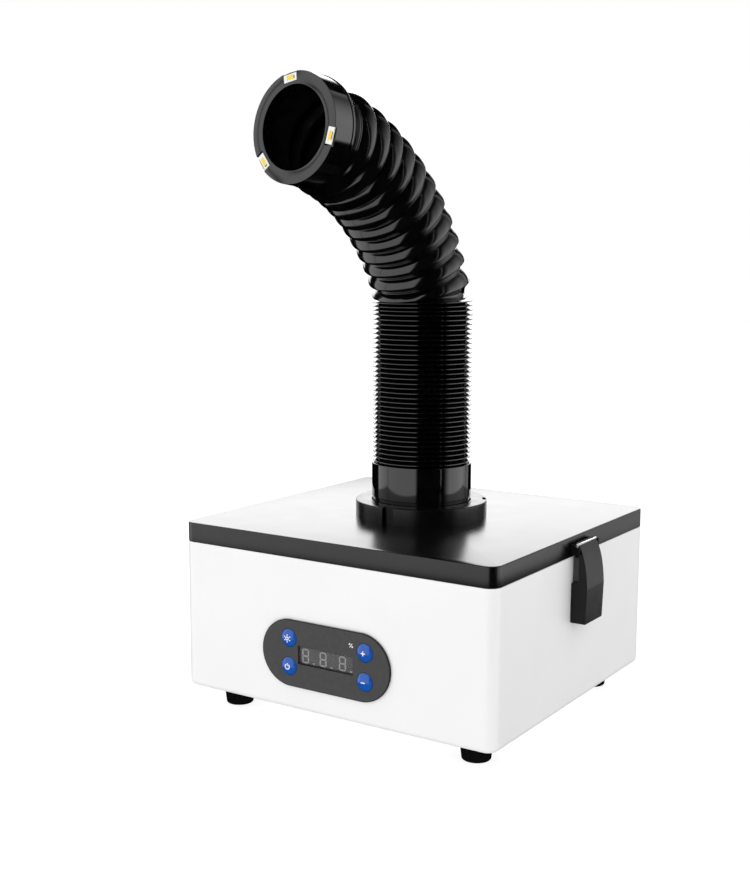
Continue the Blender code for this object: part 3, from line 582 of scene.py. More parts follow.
def make_body():
    def tub(bm):
        rounded_box(bm, BODY_LOW, BODY_HIGH, CORNER_RADIUS, bottom=4 * MM)
        top = [face for face in bm.faces if face.normal.z > 0.99]
        bmesh.ops.delete(bm, geom=top, context="FACES_ONLY")

    def thicken(obj):
        wall = obj.modifiers.new("wall", "SOLIDIFY")
        wall.thickness = WALL
        wall.offset = -1
        wall.use_even_offset = True

    mesh = after_modifiers(new_mesh("tub", tub), thicken)
    x, z = PANEL_CENTRE
    half_w, half_h = 44 * MM, 19.5 * MM
    cutters = [wall_opening(BODY_LOW.y, (x - half_w, z - half_h), (x + half_w, z + half_h))]
    for low, high in (EXHAUST_HOLE, INLET_HOLE):
        cutters.append(wall_opening(BODY_HIGH.y, low, high))
    for place in FEET:
        cutters.append(drill(FOOT_BORE, 20 * MM, foot_spot(place)))
    cutters += groove_cutters()
    mesh = softened(carved(mesh, *cutters), 0.35 * MM, angle=50)
    add_piece("body_cover", mesh, WHITE_SHELL, "base", ["body_shell"])


def wall_opening(y, low, high):
    """A cutter through the front or the rear wall, between two corners (x, z)."""
    return box_mesh((low[0], y - 5 * MM, low[1]), (high[0], y + 5 * MM, high[1]))


def groove_cutters():
    """Four strips round the flat middle of the underside."""
    strips = []
    for side in (-1, 1):
        x, y = side * 86, side * 81
        strips.append(box_mesh(*in_metres([(x - 1, -82, -5), (x + 1, 82, 0.6)])))
        strips.append(box_mesh(*in_metres([(-87, y - 1, -5), (87, y + 1, 0.6)])))
    return strips


def drill(radius, length, place, steps=32):
    half = length / 2
    return turned([(0, half), (radius, half), (radius, -half), (0, -half)], steps, lambda p: place @ p)


def foot_spot(place):
    """The middle of a foot, at the level of the box's underside."""
    x, y, _ = middle_of(f"foot_{place}")
    return Matrix.Translation((x, y, 0))


def make_feet():
    gap, floor, bore = GAP / MM, FLOOR_Z / MM, FOOT_BORE / MM
    head = -9.3
    profile = in_metres(
        [(12.8, -gap, 0.3), (12.5, -3.2, 0.4), (11.9, -3.8, 0.4), (10.5, floor + 0.8, 0.6)]
        + [(9.8, floor, 0.6), (5, floor, 0.4), (5, -9, 0), (bore, -9, 0), (bore, -gap, 0)]
    )
    top = WALL / MM - gap
    screw = in_metres(
        [(0, top, 0), (2, top, 0), (2, head, 0), (4.2, head, 0.2)]
        + [(4.2, head - 1.6, 1.2), (2.4, head - 2.9, 1.2), (0, head - 3, 0)]
    )
    for place in FEET:
        spot = foot_spot(place)
        foot = shaded(turned(filleted(profile, 0, 4), 72))
        add_piece(f"foot_{place}_cover", foot, FOOT_BLACK, "base", [f"foot_{place}"], spot)
        slots = []
        for x, y in ((2.4, 0.5), (0.5, 2.4)):
            slots.append(box_mesh(*in_metres([(-x, -y, head - 4), (x, y, head - 1.5)])))
        fastener = shaded(carved(turned(filleted(screw, 0, 4), 40), *slots))
        node = f"foot_screw_{place}"
        add_piece(f"{node}_cover", fastener, STEEL, "base", [node], spot)


def make_lid():
    cap = rounded_box_mesh(LID_LOW, LID_HIGH, CORNER_RADIUS, top=1.2 * MM, bottom=0.4 * MM)
    inset = Vector((LID_WALL, LID_WALL, 0))
    pocket_low = LID_LOW + inset - Vector((0, 0, 5 * MM))
    pocket_high = LID_HIGH - inset - Vector((0, 0, LID_WALL))
    pocket = rounded_box_mesh(pocket_low, pocket_high, CORNER_RADIUS - LID_WALL)
    hole = drill(33.5 * MM, 20 * MM, Matrix.Translation((0, 0, LID_HIGH.z)), steps=96)
    mesh = shaded(carved(cap, pocket, hole), 30)
    add_piece("lid_cover", mesh, LID_BLACK, "lid", ["lid"])


# --- collar and cuff


def make_collar():
    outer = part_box("collar_ring")[1].x
    low, top = LID_HIGH.z + 0.03 * MM, LID_HIGH.z + 13 * MM
    groove_low, groove_high = LID_HIGH.z + 2.6 * MM, LID_HIGH.z + 7 * MM
    profile = [
        (outer, top, 1.3 * MM),
        (outer, low, 0),
        (CUFF_BORE, low, 0),
        (CUFF_BORE, groove_low, 0),
        (GROOVE_RADIUS, groove_low, 0),
        (GROOVE_RADIUS, groove_high, 0),
        (CUFF_RADIUS, groove_high, 0),
        (CUFF_RADIUS, top, 0.6 * MM),
    ]
    mesh = turned(filleted(profile, 0, 4), 160)
    notches = []
    for i in range(3):
        low_corner = (-NOTCH_WIDTH / 2, -60 * MM, low - 5 * MM)
        high_corner = (NOTCH_WIDTH / 2, NOTCH_DEPTH - outer, top + 5 * MM)
        notch = box_mesh(low_corner, high_corner)
        notch.transform(Matrix.Rotation(FIRST_NOTCH_TURN + radians(120 * i), 4, "Z"))
        notches.append(notch)
    mesh = shaded(carved(mesh, *notches), 30)
    add_piece("collar_cover", mesh, COLLAR_BLACK, "lid", ["collar_ring"])


def make_cuff():
    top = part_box("hose_cuff")[1].z
    flange_low, flange_high = LID_HIGH.z + 2.9 * MM, LID_HIGH.z + 6.6 * MM
    shoulder = LID_HIGH.z + 16 * MM
    profile = [
        (CUFF_RADIUS, top, 0.8 * MM),
        (CUFF_RADIUS, shoulder, 0.3 * MM),
        (38.2 * MM, shoulder - 0.4 * MM, 0.1 * MM),
        (38.2 * MM, flange_high, 0),
        (43 * MM, flange_high, 0.2 * MM),
        (43 * MM, flange_low, 0.2 * MM),
        (CUFF_BORE, flange_low, 0),
        (CUFF_BORE, top, 0.4 * MM),
    ]
    mesh = shaded(turned(filleted(profile, 0, 5), 160), 30)
    add_piece("cuff_cover", mesh, POLISHED_BLACK, "hose_base", ["hose_cuff"])


# --- hose


def hose_frame(station):
    """The hose's centre line: Z along the hose, X along the hinge axes. Below station 0 it is upright."""
    forward = Vector((sin(BEND_HEADING), -cos(BEND_HEADING), 0))
    up = Vector((0, 0, 1))
    tight_length = TIGHT_RADIUS * TIGHT_ANGLE
    tight_tilt = min(max(station, 0), tight_length) / TIGHT_RADIUS
    tilt = tight_tilt + max(station - tight_length, 0) / WIDE_RADIUS
    centre = Vector((0, 0, BEND_START + min(station, 0)))
    for radius, start, end in ((TIGHT_RADIUS, 0, tight_tilt), (WIDE_RADIUS, tight_tilt, tilt)):
        centre += radius * forward * (cos(start) - cos(end))
        centre += radius * up * (sin(end) - sin(start))
    along = forward * sin(tilt) + up * cos(tilt)
    across = up.cross(forward)
    turn = Matrix((across, along.cross(across), along)).transposed().to_4x4()
    return Matrix.Translation(centre) @ turn


def ring_frame(station):
    """A fold's frame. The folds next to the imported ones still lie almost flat."""
    tilt = min(max(station, 0) / TIGHT_RADIUS, TIGHT_ANGLE)
    share = min(max((station - FLAT_FOLDS) / (FIRST_CREST - FLAT_FOLDS), 0), 1)
    lag = 0.75 * tilt * (1 - share * share * (3 - 2 * share))
    return hose_frame(station) @ Matrix.Rotation(-lag, 4, "X")


def hose_skin(outer):
    """A thin-walled tube round the hose's centre line, from an outer line of (radius, station)."""
    inner = [(radius - SKIN, station) for radius, station in reversed(outer)]

    def place(point):
        return ring_frame(point.z) @ Vector((point.x, point.y, 0))

    return turned(outer + inner, HOSE_STEPS, place)


def ring_radius(index):
    """The lowest convolutions are a little narrower than the rest."""
    return RING_RADIUS - (RING_RADIUS - FIRST_RING_RADIUS) * max(0, 1 - index / 4)


# One convolution, from a crest to the next one nearer the nozzle: (share of the pitch, depth)
CONVOLUTION = (
    ((0.0, 0.0), (0.1, 0.16), (0.22, 0.8), (0.34, 1.8), (0.46, 3.1), (0.57, 4.7), (0.62, 5.0))
    + ((0.66, 4.65), (0.7, 5.0), (0.76, 4.9), (0.84, 3.3), (0.91, 1.3), (0.96, 0.3), (1.0, 0.0))
)


def convolution(start, end, low_radius, high_radius):
    """The outer line from one crest to the next."""
    line = []
    for share, depth in smooth_line(CONVOLUTION, 3):
        radius = low_radius + (high_radius - low_radius) * share
        line.append((radius - depth * MM, start + (end - start) * share))
    # A very short step at each end keeps the shading the same on both sides of the joint.
    first, last = line[0], line[-1]
    line.insert(1, (first[0], first[1] + 0.03 * MM))
    line.insert(-1, (last[0], last[1] - 0.03 * MM))
    return line


def packed_line(start, end, ridges):
    """The outer line of folds that lie against each other."""
    line = []
    pitch = (end - start) / ridges
    shape = ((0, 0), (0.25, 0.55), (0.37, 0.93), (0.43, 1), (0.57, 1), (0.63, 0.93), (0.75, 0.55))
    for ridge in range(ridges):
        for share, rise in shape:
            radius = PACKED_VALLEY + (PACKED_CREST - PACKED_VALLEY) * rise
            line.append((radius, start + (ridge + share) * pitch))
    line.append((PACKED_VALLEY, end))
    return line


def add_skin(name, line, start, end, node):
    """A length of hose built from its outer line of (radius, station), riding on no body."""
    mesh = shaded(hose_skin(line), 40)
    skin = add_piece(name, mesh, HOSE_BLACK, replaces=[node])
    mesh.materials.append(HOSE_INSIDE)
    for face in list(mesh.polygons)[len(line) * HOSE_STEPS :]:
        face.material_index = 1
    first, last = hose_frame(start).translation, hose_frame(end).translation
    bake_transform(skin)


def make_hose():
    low, high = PACKED_LOW - BEND_START, PACKED_HIGH - BEND_START
    packed = packed_line(low, high, PACKED_RIDGES)
    add_skin("hose_skin_packed", packed, low, high, "hose_packed")

    last_fold = high + LOOSE_RIDGES * LOOSE_PITCH
    line = packed_line(high, last_fold, LOOSE_RIDGES)
    fold, crest, radius = last_fold / MM, FIRST_CREST / MM, FIRST_RING_RADIUS / MM
    points = [(34.2, fold + 0.7), (33.2, fold + 2), (32.8, crest - 5.4), (34, crest - 3.2)]
    points += [(radius - 1, crest - 1.2), (radius - 0.15, crest - 0.5), (radius, crest - 0.03)]
    rise = smooth_line(in_metres(points), 4)
    line += rise + [(FIRST_RING_RADIUS, FIRST_CREST)]
    add_skin("hose_skin_00", line, last_fold, FIRST_CREST - 1 * MM, "hose_top_ring")

    rear = NOZZLE_STATION - NOZZLE_LENGTH
    for index in range(RING_COUNT):
        number = index + 1
        crest = FIRST_CREST + index * CREST_PITCH
        blend_end = crest + 0.95 * CREST_PITCH
        line = convolution(crest, crest + CREST_PITCH, ring_radius(index), ring_radius(number))
        if number == RING_COUNT:
            # The last one ends in a sleeve inside the nozzle.
            line = [point for point in line if point[1] < crest + 0.8 * CREST_PITCH]
            line += [(35.4 * MM, rear - 0.8 * MM), (35.6 * MM, rear - GAP), (35.6 * MM, rear + 6 * MM)]
            blend_end = rear - 1 * MM
        node = f"hose_ring_{number:02d}"
        blend_start = crest + 0.2 * CREST_PITCH
        add_skin(f"hose_skin_{number:02d}", line, blend_start, blend_end, node)


# --- nozzle


def make_nozzle():
    """The nozzle's face is its frame's z = 0, and Z points out of the mouth."""
    place = hose_frame(NOZZLE_STATION)
    rear = -NOZZLE_LENGTH
    rim = NOZZLE_RADIUS + 0.6 * MM
    profile = [
        (NOZZLE_RADIUS, 0, 0.5 * MM),
        (NOZZLE_RADIUS, rear + 2.8 * MM, 0.4 * MM),
        (rim, rear + 2.2 * MM, 0.5 * MM),
        (rim, rear + 0.5 * MM, 0.5 * MM),
        (NOZZLE_RADIUS - 0.4 * MM, rear, 0.3 * MM),
        (36 * MM, rear, 0.2 * MM),
    ]
    profile += in_metres([(36, -4, 0), (31.3, -4, 0), (31.3, -12, 0.2), (30.6, -12, 0.2), (30.6, -8, 0.1)])
    profile += [(NOZZLE_BORE, -7.4 * MM, 0.3 * MM), (NOZZLE_BORE, 0, 0.7 * MM)]
    mesh = turned(filleted(profile, 0, 5), 160)
    pockets = []
    for number, (angle, mark) in enumerate(zip(LED_ANGLES, LED_MARKS), start=1):
        turn = Matrix.Rotation(radians(angle - 90), 4, "Z")
        middle = Vector((0, LED_RADIUS, -GAP - LED_SIZE.z / 2))
        reach = LED_SIZE / 2
        low = (-reach.x - GAP, middle.y - reach.y - GAP, -GAP - LED_SIZE.z - GAP)
        high = (reach.x + 1.1 * MM, NOZZLE_RADIUS + 2 * MM, 2 * MM)
        pocket = box_mesh(low, high)
        pocket.transform(turn)
        pockets.append(pocket)
        add_led(number, mark, place @ turn @ Matrix.Translation(middle))
    mesh = shaded(carved(mesh, *pockets), 30)
    add_piece("nozzle_cover", mesh, POLISHED_BLACK, "nozzle", ["nozzle_ring"], place)


def add_led(number, mark, place):
    """A white package with a yellow phosphor window and a dark mark beside it."""
    half = LED_SIZE / 2
    package = box_mesh(-half, half)
    well = box_mesh((-3.2 * MM, -1.15 * MM, half.z - 0.25 * MM), (3.0 * MM, 1.95 * MM, half.z + 1 * MM))
    package = softened(carved(package, well), 0.12 * MM)
    add_piece(f"led_{number}", package, LED_WHITE, "nozzle", [f"nozzle_led_{number}"], place)

    low = (-3.1 * MM, -1.05 * MM, half.z - 0.24 * MM)
    high = (2.9 * MM, 1.85 * MM, half.z - 0.04 * MM)
    gel = rounded_box_mesh(low, high, 0.4 * MM)
    add_piece(f"led_gel_{number}", shaded(gel), PHOSPHOR, "nozzle", place=place)

    (x_low, y_low), (x_high, y_high) = mark
    low = (x_low * MM, y_low * MM, half.z - 0.02 * MM)
    high = (x_high * MM, y_high * MM, half.z + 0.03 * MM)
    patch = softened(box_mesh(low, high), 0.01 * MM)
    add_piece(f"led_mark_{number}", patch, MATTE_BLACK, "nozzle", place=place)


# --- latches


def side_frame(side, y):
    """A frame on a side wall: its X runs out of the wall, its Y up."""
    out = Vector((side, 0, 0))
    up = Vector((0, 0, 1))
    turn = Matrix((out, up, out.cross(up))).transposed().to_4x4()
    return Matrix.Translation((side * BODY_HIGH.x, y, 0)) @ turn


def lever_outline():
    """The lever's side view about its pin: (distance out, height)."""
    out, up = LATCH_PIVOT
    hook = arc((0, 0), LATCH_PIN_RADIUS + GAP, 25, -260, 28)
    curl = arc((0, 0), 2.5 * MM, 100, 240, 14)
    inside = [(6.1, 113.8), (6.1, 98), (5.2, 95.8), (3.6, 94.8), (0.4, 94.6), (0.4, 64.8)]
    outside = [(12, 64.8)] + smooth_line(
        [(13, 91), (12.7, 96), (12.1, 102), (11, 109), (9.3, 115.5), (7.2, 121)], 4
    )
    return hook + curl + [(x * MM - out, z * MM - up) for x, z in inside + outside]


def make_latch(side, name):
    out, up = LATCH_PIVOT
    y_middle = sum(LATCH_Y) / 2
    width = LATCH_Y[1] - LATCH_Y[0]
    place = side_frame(side, y_middle)
    pivot = place @ Matrix.Translation((out, up, 0))
    half_channel = width / 2 - 2.6 * MM
    channel_high = CATCH_DEPTH + 0.4 * MM - out

    lever = extruded(lever_outline(), width)
    channel = box_mesh((-20 * MM, -80 * MM, -half_channel), (channel_high, -8.5 * MM, half_channel))
    lever = softened(carved(lever, channel), 0.4 * MM, segments=3, angle=50)
    body = f"lever_{name}"
    add_piece(body, lever, SATIN_BLACK, body, [f"latch_{body}"], pivot)

    inner = width / 2 + 0.4 * MM
    outer = inner + 2 * MM
    reach = 7.2 * MM
    back = 1.1 * MM
    half_outline = [(back, inner), (reach, inner), (reach, outer), (GAP, outer)]
    outline = [(x, -z) for x, z in reversed(half_outline)] + half_outline
    low, high = 116 * MM, 123.6 * MM
    lying = place @ Matrix.Rotation(radians(90), 4, "X")
    lifted = Matrix.Translation((0, 0, (low + high) / 2)) @ lying
    bore = drill(LATCH_PIN_RADIUS + GAP, 2 * outer + 10 * MM, lifted.inverted() @ pivot)
    bracket = softened(carved(extruded(outline, high - low), bore), 0.5 * MM, segments=3)
    node = f"latch_bracket_{name}"
    add_piece(f"bracket_{name}", bracket, MATTE_BLACK, "lid", [node], lifted)

    half, rim = inner + 1.2 * MM, 0.3 * MM
    pin = [(0, half, 0), (LATCH_PIN_RADIUS, half, rim), (LATCH_PIN_RADIUS, -half, rim), (0, -half, 0)]
    pin_mesh = shaded(turned(filleted(pin, 0, 3), 32))
    add_piece(f"pin_{name}", pin_mesh, STEEL, "lid", [f"latch_pin_{name}"], pivot)

    gap, deep = GAP / MM, CATCH_DEPTH / MM
    low, high = CATCH_Z[0] / MM, CATCH_Z[1] / MM
    catch = [(gap, low), (3.4, low + 0.2), (5, low + 1.4), (deep, low + 3.4), (deep, high), (gap, high)]
    mesh = extruded(in_metres(catch), 2 * (half_channel - 0.5 * MM))
    mesh = softened(mesh, 0.3 * MM, angle=45)
    add_piece(f"catch_{name}", mesh, PANEL_GREY, "base", [f"latch_catch_{name}"], place)


# --- control panel


def facing_front(x, z, y):
    """A frame on the front wall: its X runs to the right, its Y up, its Z out to the front."""
    return Matrix.Translation((x, y, z)) @ Matrix.Rotation(radians(90), 4, "X")


def button_frame(name):
    """Its origin is where the button's axis meets the panel's face."""
    x, _, z = middle_of(f"button_{name}")
    return facing_front(x, z, PANEL_LOW.y)


def make_panel():
    """A black plate with a grey printed film on its face."""
    back, front = PANEL_HIGH.y, PANEL_LOW.y
    low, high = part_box("display_window")
    margin = Vector((GAP, 5 * MM, GAP))
    cutters = [box_mesh(low - margin, high + margin)]
    for name in BUTTONS:
        cutters.append(drill(BUTTON_RADIUS + GAP, 10 * MM, button_frame(name), steps=64))

    width, height = PANEL_SIZE
    plate = extruded(stadium(width, height, steps=48), back - front - FILM)
    plate.transform(facing_front(*PANEL_CENTRE, (back + front + FILM) / 2))
    plate = softened(carved(plate, *cutters), 0.2 * MM, angle=50)
    add_piece("panel_plate", plate, SATIN_BLACK, "base", ["control_panel"])

    edge_gap = 2 * 0.7 * MM
    film = extruded(stadium(width - edge_gap, height - edge_gap, steps=48), FILM)
    film.transform(facing_front(*PANEL_CENTRE, front + FILM / 2))
    film = softened(carved(film, *cutters), 0.05 * MM, angle=50)
    add_piece("panel_film", film, PANEL_GREY, "base")

    window = softened(box_mesh(low, high), 0.15 * MM)
    add_piece("window_cover", window, WINDOW_SMOKE, "base", ["display_window"])
    make_display()
    make_percent_mark()


def dome_height(radius):
    """How far a button's dome stands out at a distance from its middle."""
    share = min(radius / BUTTON_RADIUS, 1)
    return 0.2 * MM + (BUTTON_DOME - 0.2 * MM) * (1 - share**2.6)


def make_buttons():
    back = (PANEL_LOW.y - PANEL_HIGH.y - GAP) / MM
    radii = [BUTTON_RADIUS * share for share in [i / 14 for i in range(14)] + [0.97, 1]]
    dome = [(radius, dome_height(radius)) for radius in radii]
    profile = dome + in_metres(
        [(BUTTON_RADIUS / MM, back), (7.8, back), (7.8, back - 1.4)]
        + [(2.5, back - 1.4), (2.5, back - 3.6), (0, back - 3.6)]
    )
    for name in BUTTONS:
        place = button_frame(name)
        cap = shaded(turned(profile, 64), 50)
        body = f"button_{name}"
        add_piece(f"cap_{name}", cap, BUTTON_BLUE, body, [body], place)
        strips = [ribbon(line, 0.75 * MM, dome_height) for line in button_marks(name)]
        add_marks(f"mark_{name}", strips, body, place)


def straight(start, end, steps=8):
    start, end = Vector(start), Vector(end)
    return [tuple(start.lerp(end, i / steps)) for i in range(steps + 1)]


def button_marks(name):
    """The middle lines of the generic marks: plus, minus, a power sign and a lamp sign."""
    arm = 1.7 * MM
    half = 0.375 * MM
    if name == "minus":
        return [straight((-arm, 0), (arm, 0))]
    if name == "plus":
        upright = [straight((0, side * half), (0, side * arm)) for side in (1, -1)]
        return [straight((-arm, 0), (arm, 0))] + upright
    if name == "power":
        return [arc((0, 0), 1.9 * MM, 125, 415, 28), straight((0, 0.6 * MM), (0, 2.6 * MM))]
    rays = []
    for i in range(6):
        angle = radians(60 * i + 30)
        outward = Vector((cos(angle), sin(angle)))
        rays.append(straight(outward * 2.0 * MM, outward * 3.1 * MM, 4))
    return [arc((0, 0), 1.1 * MM, 0, 360, 24)] + rays


def ribbon(line, width, height_at, depth=0.4 * MM, proud=0.07 * MM):
    """A thin raised strip along a line, lying on a surface whose height depends on the radius."""
    points = [Vector(point) for point in line]

    def build(bm):
        rows = []
        for i, point in enumerate(points):
            ahead = points[min(i + 1, len(points) - 1)] - points[max(i - 1, 0)]
            side = Vector((-ahead.y, ahead.x)).normalized() * width / 2
            left, right = point + side, point - side
            low, high = proud - depth, proud
            corners = ((left, low), (left, high), (right, high), (right, low))
            rows.append([bm.verts.new((p.x, p.y, height_at(p.length) + z)) for p, z in corners])
        add_swept(bm, rows)
        bmesh.ops.remove_doubles(bm, verts=bm.verts, dist=1e-6)

    return shaded(new_mesh("ribbon", build), 30)


def add_marks(name, strips, body, place):
    for number, strip in enumerate(strips, start=1):
        add_piece(f"{name}_{number}", strip, MARK_WHITE, body, place=place)


def make_percent_mark():
    place = facing_front(*PERCENT_PLACE, PANEL_LOW.y)
    lines = [
        straight((-1.1 * MM, -1.5 * MM), (1.1 * MM, 1.5 * MM)),
        arc((-1.1 * MM, 0.9 * MM), 0.45 * MM, 0, 360, 16),
        arc((1.1 * MM, -0.9 * MM), 0.45 * MM, 0, 360, 16),
    ]
    strips = [ribbon(line, 0.5 * MM, lambda radius: 0, 0.2 * MM, 0.05 * MM) for line in lines]
    add_marks("percent", strips, "base", place)


def make_display():
    """Three unlit digits with their points stand on the display module, behind the smoked window."""
    low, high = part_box("display_module")
    module = softened(box_mesh(low, high), 0.2 * MM)
    add_piece("module_cover", module, MODULE_GREY, "base", ["display_module"])
    for number, x in enumerate(DIGIT_X, start=1):
        place = facing_front(x, DIGIT_Z, low.y)
        parts = [segment(*ends) for ends in digit_segments()]
        point = filleted([(6.3, -5.4), (8.5, -5.4), (8.5, -4.2), (6.3, -4.2)], 0.4)
        parts.append([(px * MM, pz * MM) for px, pz in point])
        for index, outline in enumerate(parts, start=1):
            bar = softened(extruded(outline, 0.24 * MM), 0.04 * MM, segments=1)
            add_piece(f"digit_{number}_{index}", bar, SEGMENT_WHITE, "base", place=place)


def digit_segments():
    """The ends of the seven bars of a digit."""
    x, z = 2.5 * MM, 4.9 * MM
    corners = [(-x, z), (x, z), (-x, 0), (x, 0), (-x, -z), (x, -z)]
    pairs = ((0, 1), (2, 3), (4, 5), (0, 2), (1, 3), (2, 4), (3, 5))
    return [(corners[a], corners[b]) for a, b in pairs]


def segment(start, end):
    """A bar with pointed ends that leaves a thin gap to its neighbours."""
    start, end = Vector(start), Vector(end)
    along = (end - start).normalized()
    side = Vector((-along.y, along.x)) * 0.62 * MM
    start = start + along * 0.12 * MM
    end = end - along * 0.12 * MM
    shoulder = along * 0.62 * MM
    lower = [start, start + shoulder - side, end - shoulder - side]
    upper = [end, end - shoulder + side, start + shoulder + side]
    return [(point.x, point.y) for point in lower + upper]


# --- rear and inside


def make_grille():
    low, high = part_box("exhaust_grille")
    slot_low, slot_high = EXHAUST_HOLE
    pitch = (slot_high[1] - slot_low[1]) / 6
    cutters = []
    for i in range(6):
        z = slot_low[1] + (i + 0.5) * pitch
        start = (slot_low[0] + 2 * MM, low.y - 5 * MM, z - 1.6 * MM)
        end = (slot_high[0] - 2 * MM, high.y + 5 * MM, z + 1.6 * MM)
        cutters.append(box_mesh(start, end))
    mesh = softened(carved(box_mesh(low, high), *cutters), 0.35 * MM, segments=3)
    add_piece("grille_cover", mesh, SATIN_BLACK, "base", ["exhaust_grille"])


def make_inlet():
    """A three-pin appliance inlet with its socket open to the rear."""
    low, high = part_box("power_inlet")
    x, _, z = middle_of("power_inlet")
    rear = BODY_HIGH.y
    half_w, half_h = 13.3 * MM, 9.8 * MM
    block = box_mesh((x - half_w, low.y, z - half_h), (x + half_w, high.y, z + half_h))
    flange = box_mesh((low.x, rear + GAP, low.z), (high.x, rear + 2.4 * MM, high.z))
    mesh = carved(block, flange, operation="UNION")
    socket = (x - 11.9 * MM, rear - 14 * MM, z - 7.9 * MM), (x + 11.9 * MM, rear + 6 * MM, z + 7.9 * MM)
    cutters = [box_mesh(*socket)]
    for name in ("live", "neutral", "earth"):
        pin_low, pin_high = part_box(f"inlet_pin_{name}")
        margin = Vector((GAP, 0, GAP))
        start = pin_low - margin - Vector((0, 5 * MM, 0))
        end = pin_high + margin - Vector((0, 10 * MM, 0))
        cutters.append(box_mesh(start, end))
        pin = softened(box_mesh(pin_low, pin_high), 0.5 * MM, segments=3)
        add_piece(f"pin_{name}", pin, BRASS, "base", [f"inlet_pin_{name}"])
    mesh = softened(carved(mesh, *cutters), 0.4 * MM, segments=3)
    add_piece("inlet_cover", mesh, SATIN_BLACK, "base", ["power_inlet"])


def make_prefilter():
    """A pleated pad of non-woven fibre in its frame."""
    low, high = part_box("prefilter")
    pleats = 24
    margin = 6 * MM
    steps = pleats * 8

    def build(bm):
        rows = []
        for i in range(steps + 1):
            y = low.y + margin + (high.y - low.y - 2 * margin) * i / steps
            rise = 0.5 - 0.5 * cos(2 * pi * i / 8)
            top = high.z - 3.4 * MM + 3 * MM * rise
            row = [bm.verts.new((x, y, top)) for x in (low.x + margin, high.x - margin)]
            row += [bm.verts.new((x, y, low.z + 1 * MM)) for x in (high.x - margin, low.x + margin)]
            rows.append(row)
        add_swept(bm, rows)

    pad = shaded(new_mesh("pleats", build), 60)
    add_piece("prefilter_pleats", pad, FILTER_WHITE, "base", ["prefilter"])
    rim = carved(
        box_mesh(low, high),
        box_mesh(low + Vector((margin, margin, -5 * MM)), high + Vector((-margin, -margin, 5 * MM))),
    )
    add_piece("prefilter_frame", softened(rim, 0.8 * MM, segments=3), FILTER_WHITE, "base")


# --- studio


def add_camera():
    data = bpy.data.cameras.new("camera")
    data.sensor_fit = "VERTICAL"
    data.sensor_height = 36
    data.lens = CAMERA_LENS
    camera = new_object("camera", data)
    camera.matrix_world = (
        Matrix.Translation(CAMERA_PLACE)
        @ Matrix.Rotation(radians(CAMERA_AZIMUTH), 4, "Z")
        @ Matrix.Rotation(radians(90 - CAMERA_ELEVATION), 4, "X")
        @ Matrix.Rotation(radians(CAMERA_ROLL), 4, "Z")
    )
    bpy.context.scene.camera = camera


def add_floor():
    """A plain pale floor that stays out of the glossy reflections, as in a tabletop light tent."""
    reach = 6.0
    mesh = new_mesh("floor", lambda bm: bmesh.ops.create_grid(bm, x_segments=1, y_segments=1, size=reach))
    floor = new_object("floor", mesh)
    floor.location = (0, 0, FLOOR_Z)
    glow = {"Emission_Color": (1, 1, 1, 1), "Emission_Strength": 0.8}
    material = new_material("floor", (0.3, 0.3, 0.3), 0.9, Specular_IOR_Level=0.0, **glow)
    vary(material, "Roughness", 20, 0.85, 0.95)
    mesh.materials.append(material)
    floor.visible_glossy = False
    floor.visible_diffuse = False


def math_node(tree, operation, first, second=None):
    node = add_node(tree, "Math")
    node.operation = operation
    for socket, value in zip(node.inputs, (first, second)):
        if isinstance(value, (int, float)):
            socket.default_value = value
        elif value is not None:
            tree.links.new(value, socket)
    return node.outputs[0]


def edge(tree, value, place, softness):
    """Rises smoothly from 0 to 1 where the value passes a place."""
    node = add_node(tree, "MapRange", From_Min=place - softness, From_Max=place + softness)
    node.interpolation_type = "SMOOTHSTEP"
    tree.links.new(value, node.inputs["Value"])
    return node.outputs["Result"]


def band(tree, value, low, low_softness, high, high_softness):
    """1 between two places and 0 elsewhere, with soft edges."""
    rise = edge(tree, value, low, low_softness)
    fall = edge(tree, value, high, high_softness)
    return math_node(tree, "SUBTRACT", rise, fall)


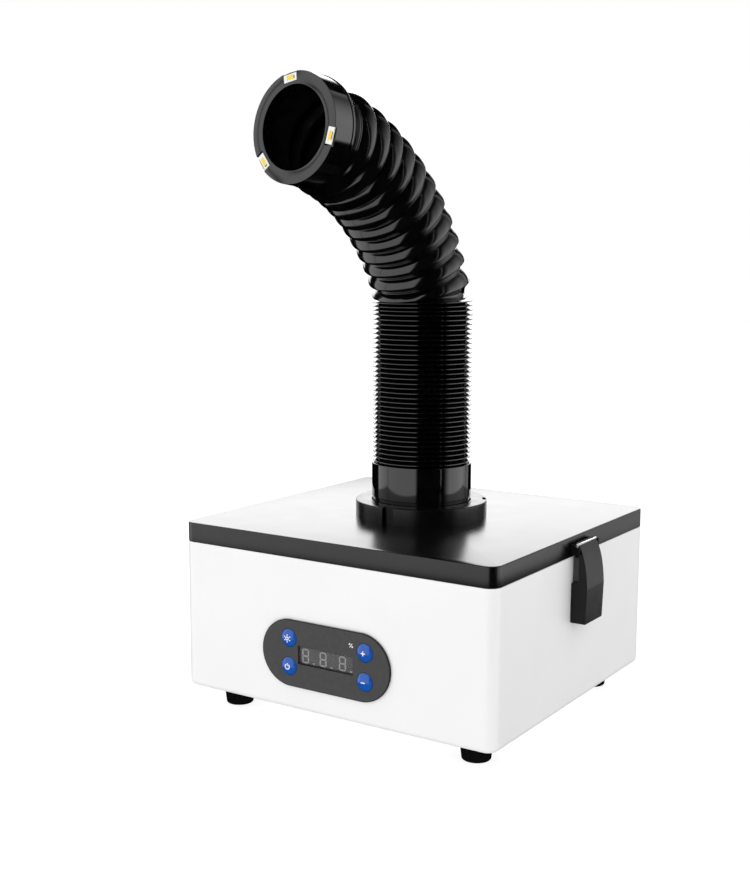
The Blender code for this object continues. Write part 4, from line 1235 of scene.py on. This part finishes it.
def light_panel(tree, azimuth, elevation, panel):
    """A soft-edged rectangle of light in the surroundings."""
    across = band(tree, azimuth, *panel[:4])
    upright = band(tree, elevation, *panel[4:8])
    return math_node(tree, "MULTIPLY", math_node(tree, "MULTIPLY", across, upright), panel[8])


def add_fill(tree, axes):
    """A smooth all-round light: an even part, then what each axis adds to it."""
    total = FILL[0]
    for axis, gain in zip(axes, FILL[1:]):
        total = math_node(tree, "ADD", math_node(tree, "MULTIPLY", axis, gain), total)
    fill = add_node(tree, "Background")
    tree.links.new(total, fill.inputs["Strength"])
    return fill


def mix(tree, factor, first, second):
    node = add_node(tree, "MixShader")
    tree.links.new(factor, node.inputs["Fac"])
    tree.links.new(first.outputs[0], node.inputs[1])
    tree.links.new(second.outputs[0], node.inputs[2])
    return node


def add_studio():
    """Large light panels round a dark studio, with a soft fill, seen against white."""
    world = bpy.data.worlds.new("studio")
    bpy.context.scene.world = world
    world.use_nodes = True
    tree = world.node_tree
    tree.nodes.clear()
    coordinates = add_node(tree, "TexCoord")
    axes = add_node(tree, "SeparateXYZ")
    tree.links.new(coordinates.outputs["Generated"], axes.inputs["Vector"])
    x, y, z = axes.outputs
    to_front = math_node(tree, "MULTIPLY", y, -1)
    azimuth = math_node(tree, "DEGREES", math_node(tree, "ARCTAN2", x, to_front))
    elevation = math_node(tree, "DEGREES", math_node(tree, "ARCSINE", z))
    total = 0
    for panel in PANELS:
        total = math_node(tree, "ADD", light_panel(tree, azimuth, elevation, panel), total)
    panels = add_node(tree, "Background")
    tree.links.new(total, panels.inputs["Strength"])
    backdrop = add_node(tree, "Background", Color=(1, 1, 1, 1))
    ray = add_node(tree, "LightPath")
    lights = mix(tree, ray.outputs["Is Diffuse Ray"], panels, add_fill(tree, axes.outputs))
    seen = mix(tree, ray.outputs["Is Camera Ray"], lights, backdrop)
    output = add_node(tree, "OutputWorld")
    tree.links.new(seen.outputs[0], output.inputs["Surface"])


add_camera()
add_floor()
add_studio()
bpy.context.scene.view_settings.view_transform = "Standard"

finish_cad_nodes()
make_body()
make_feet()
make_lid()
make_collar()
make_cuff()
make_hose()
make_nozzle()
make_latch(1, "right")
make_latch(-1, "left")
make_panel()
make_buttons()
make_grille()
make_inlet()
make_prefilter()
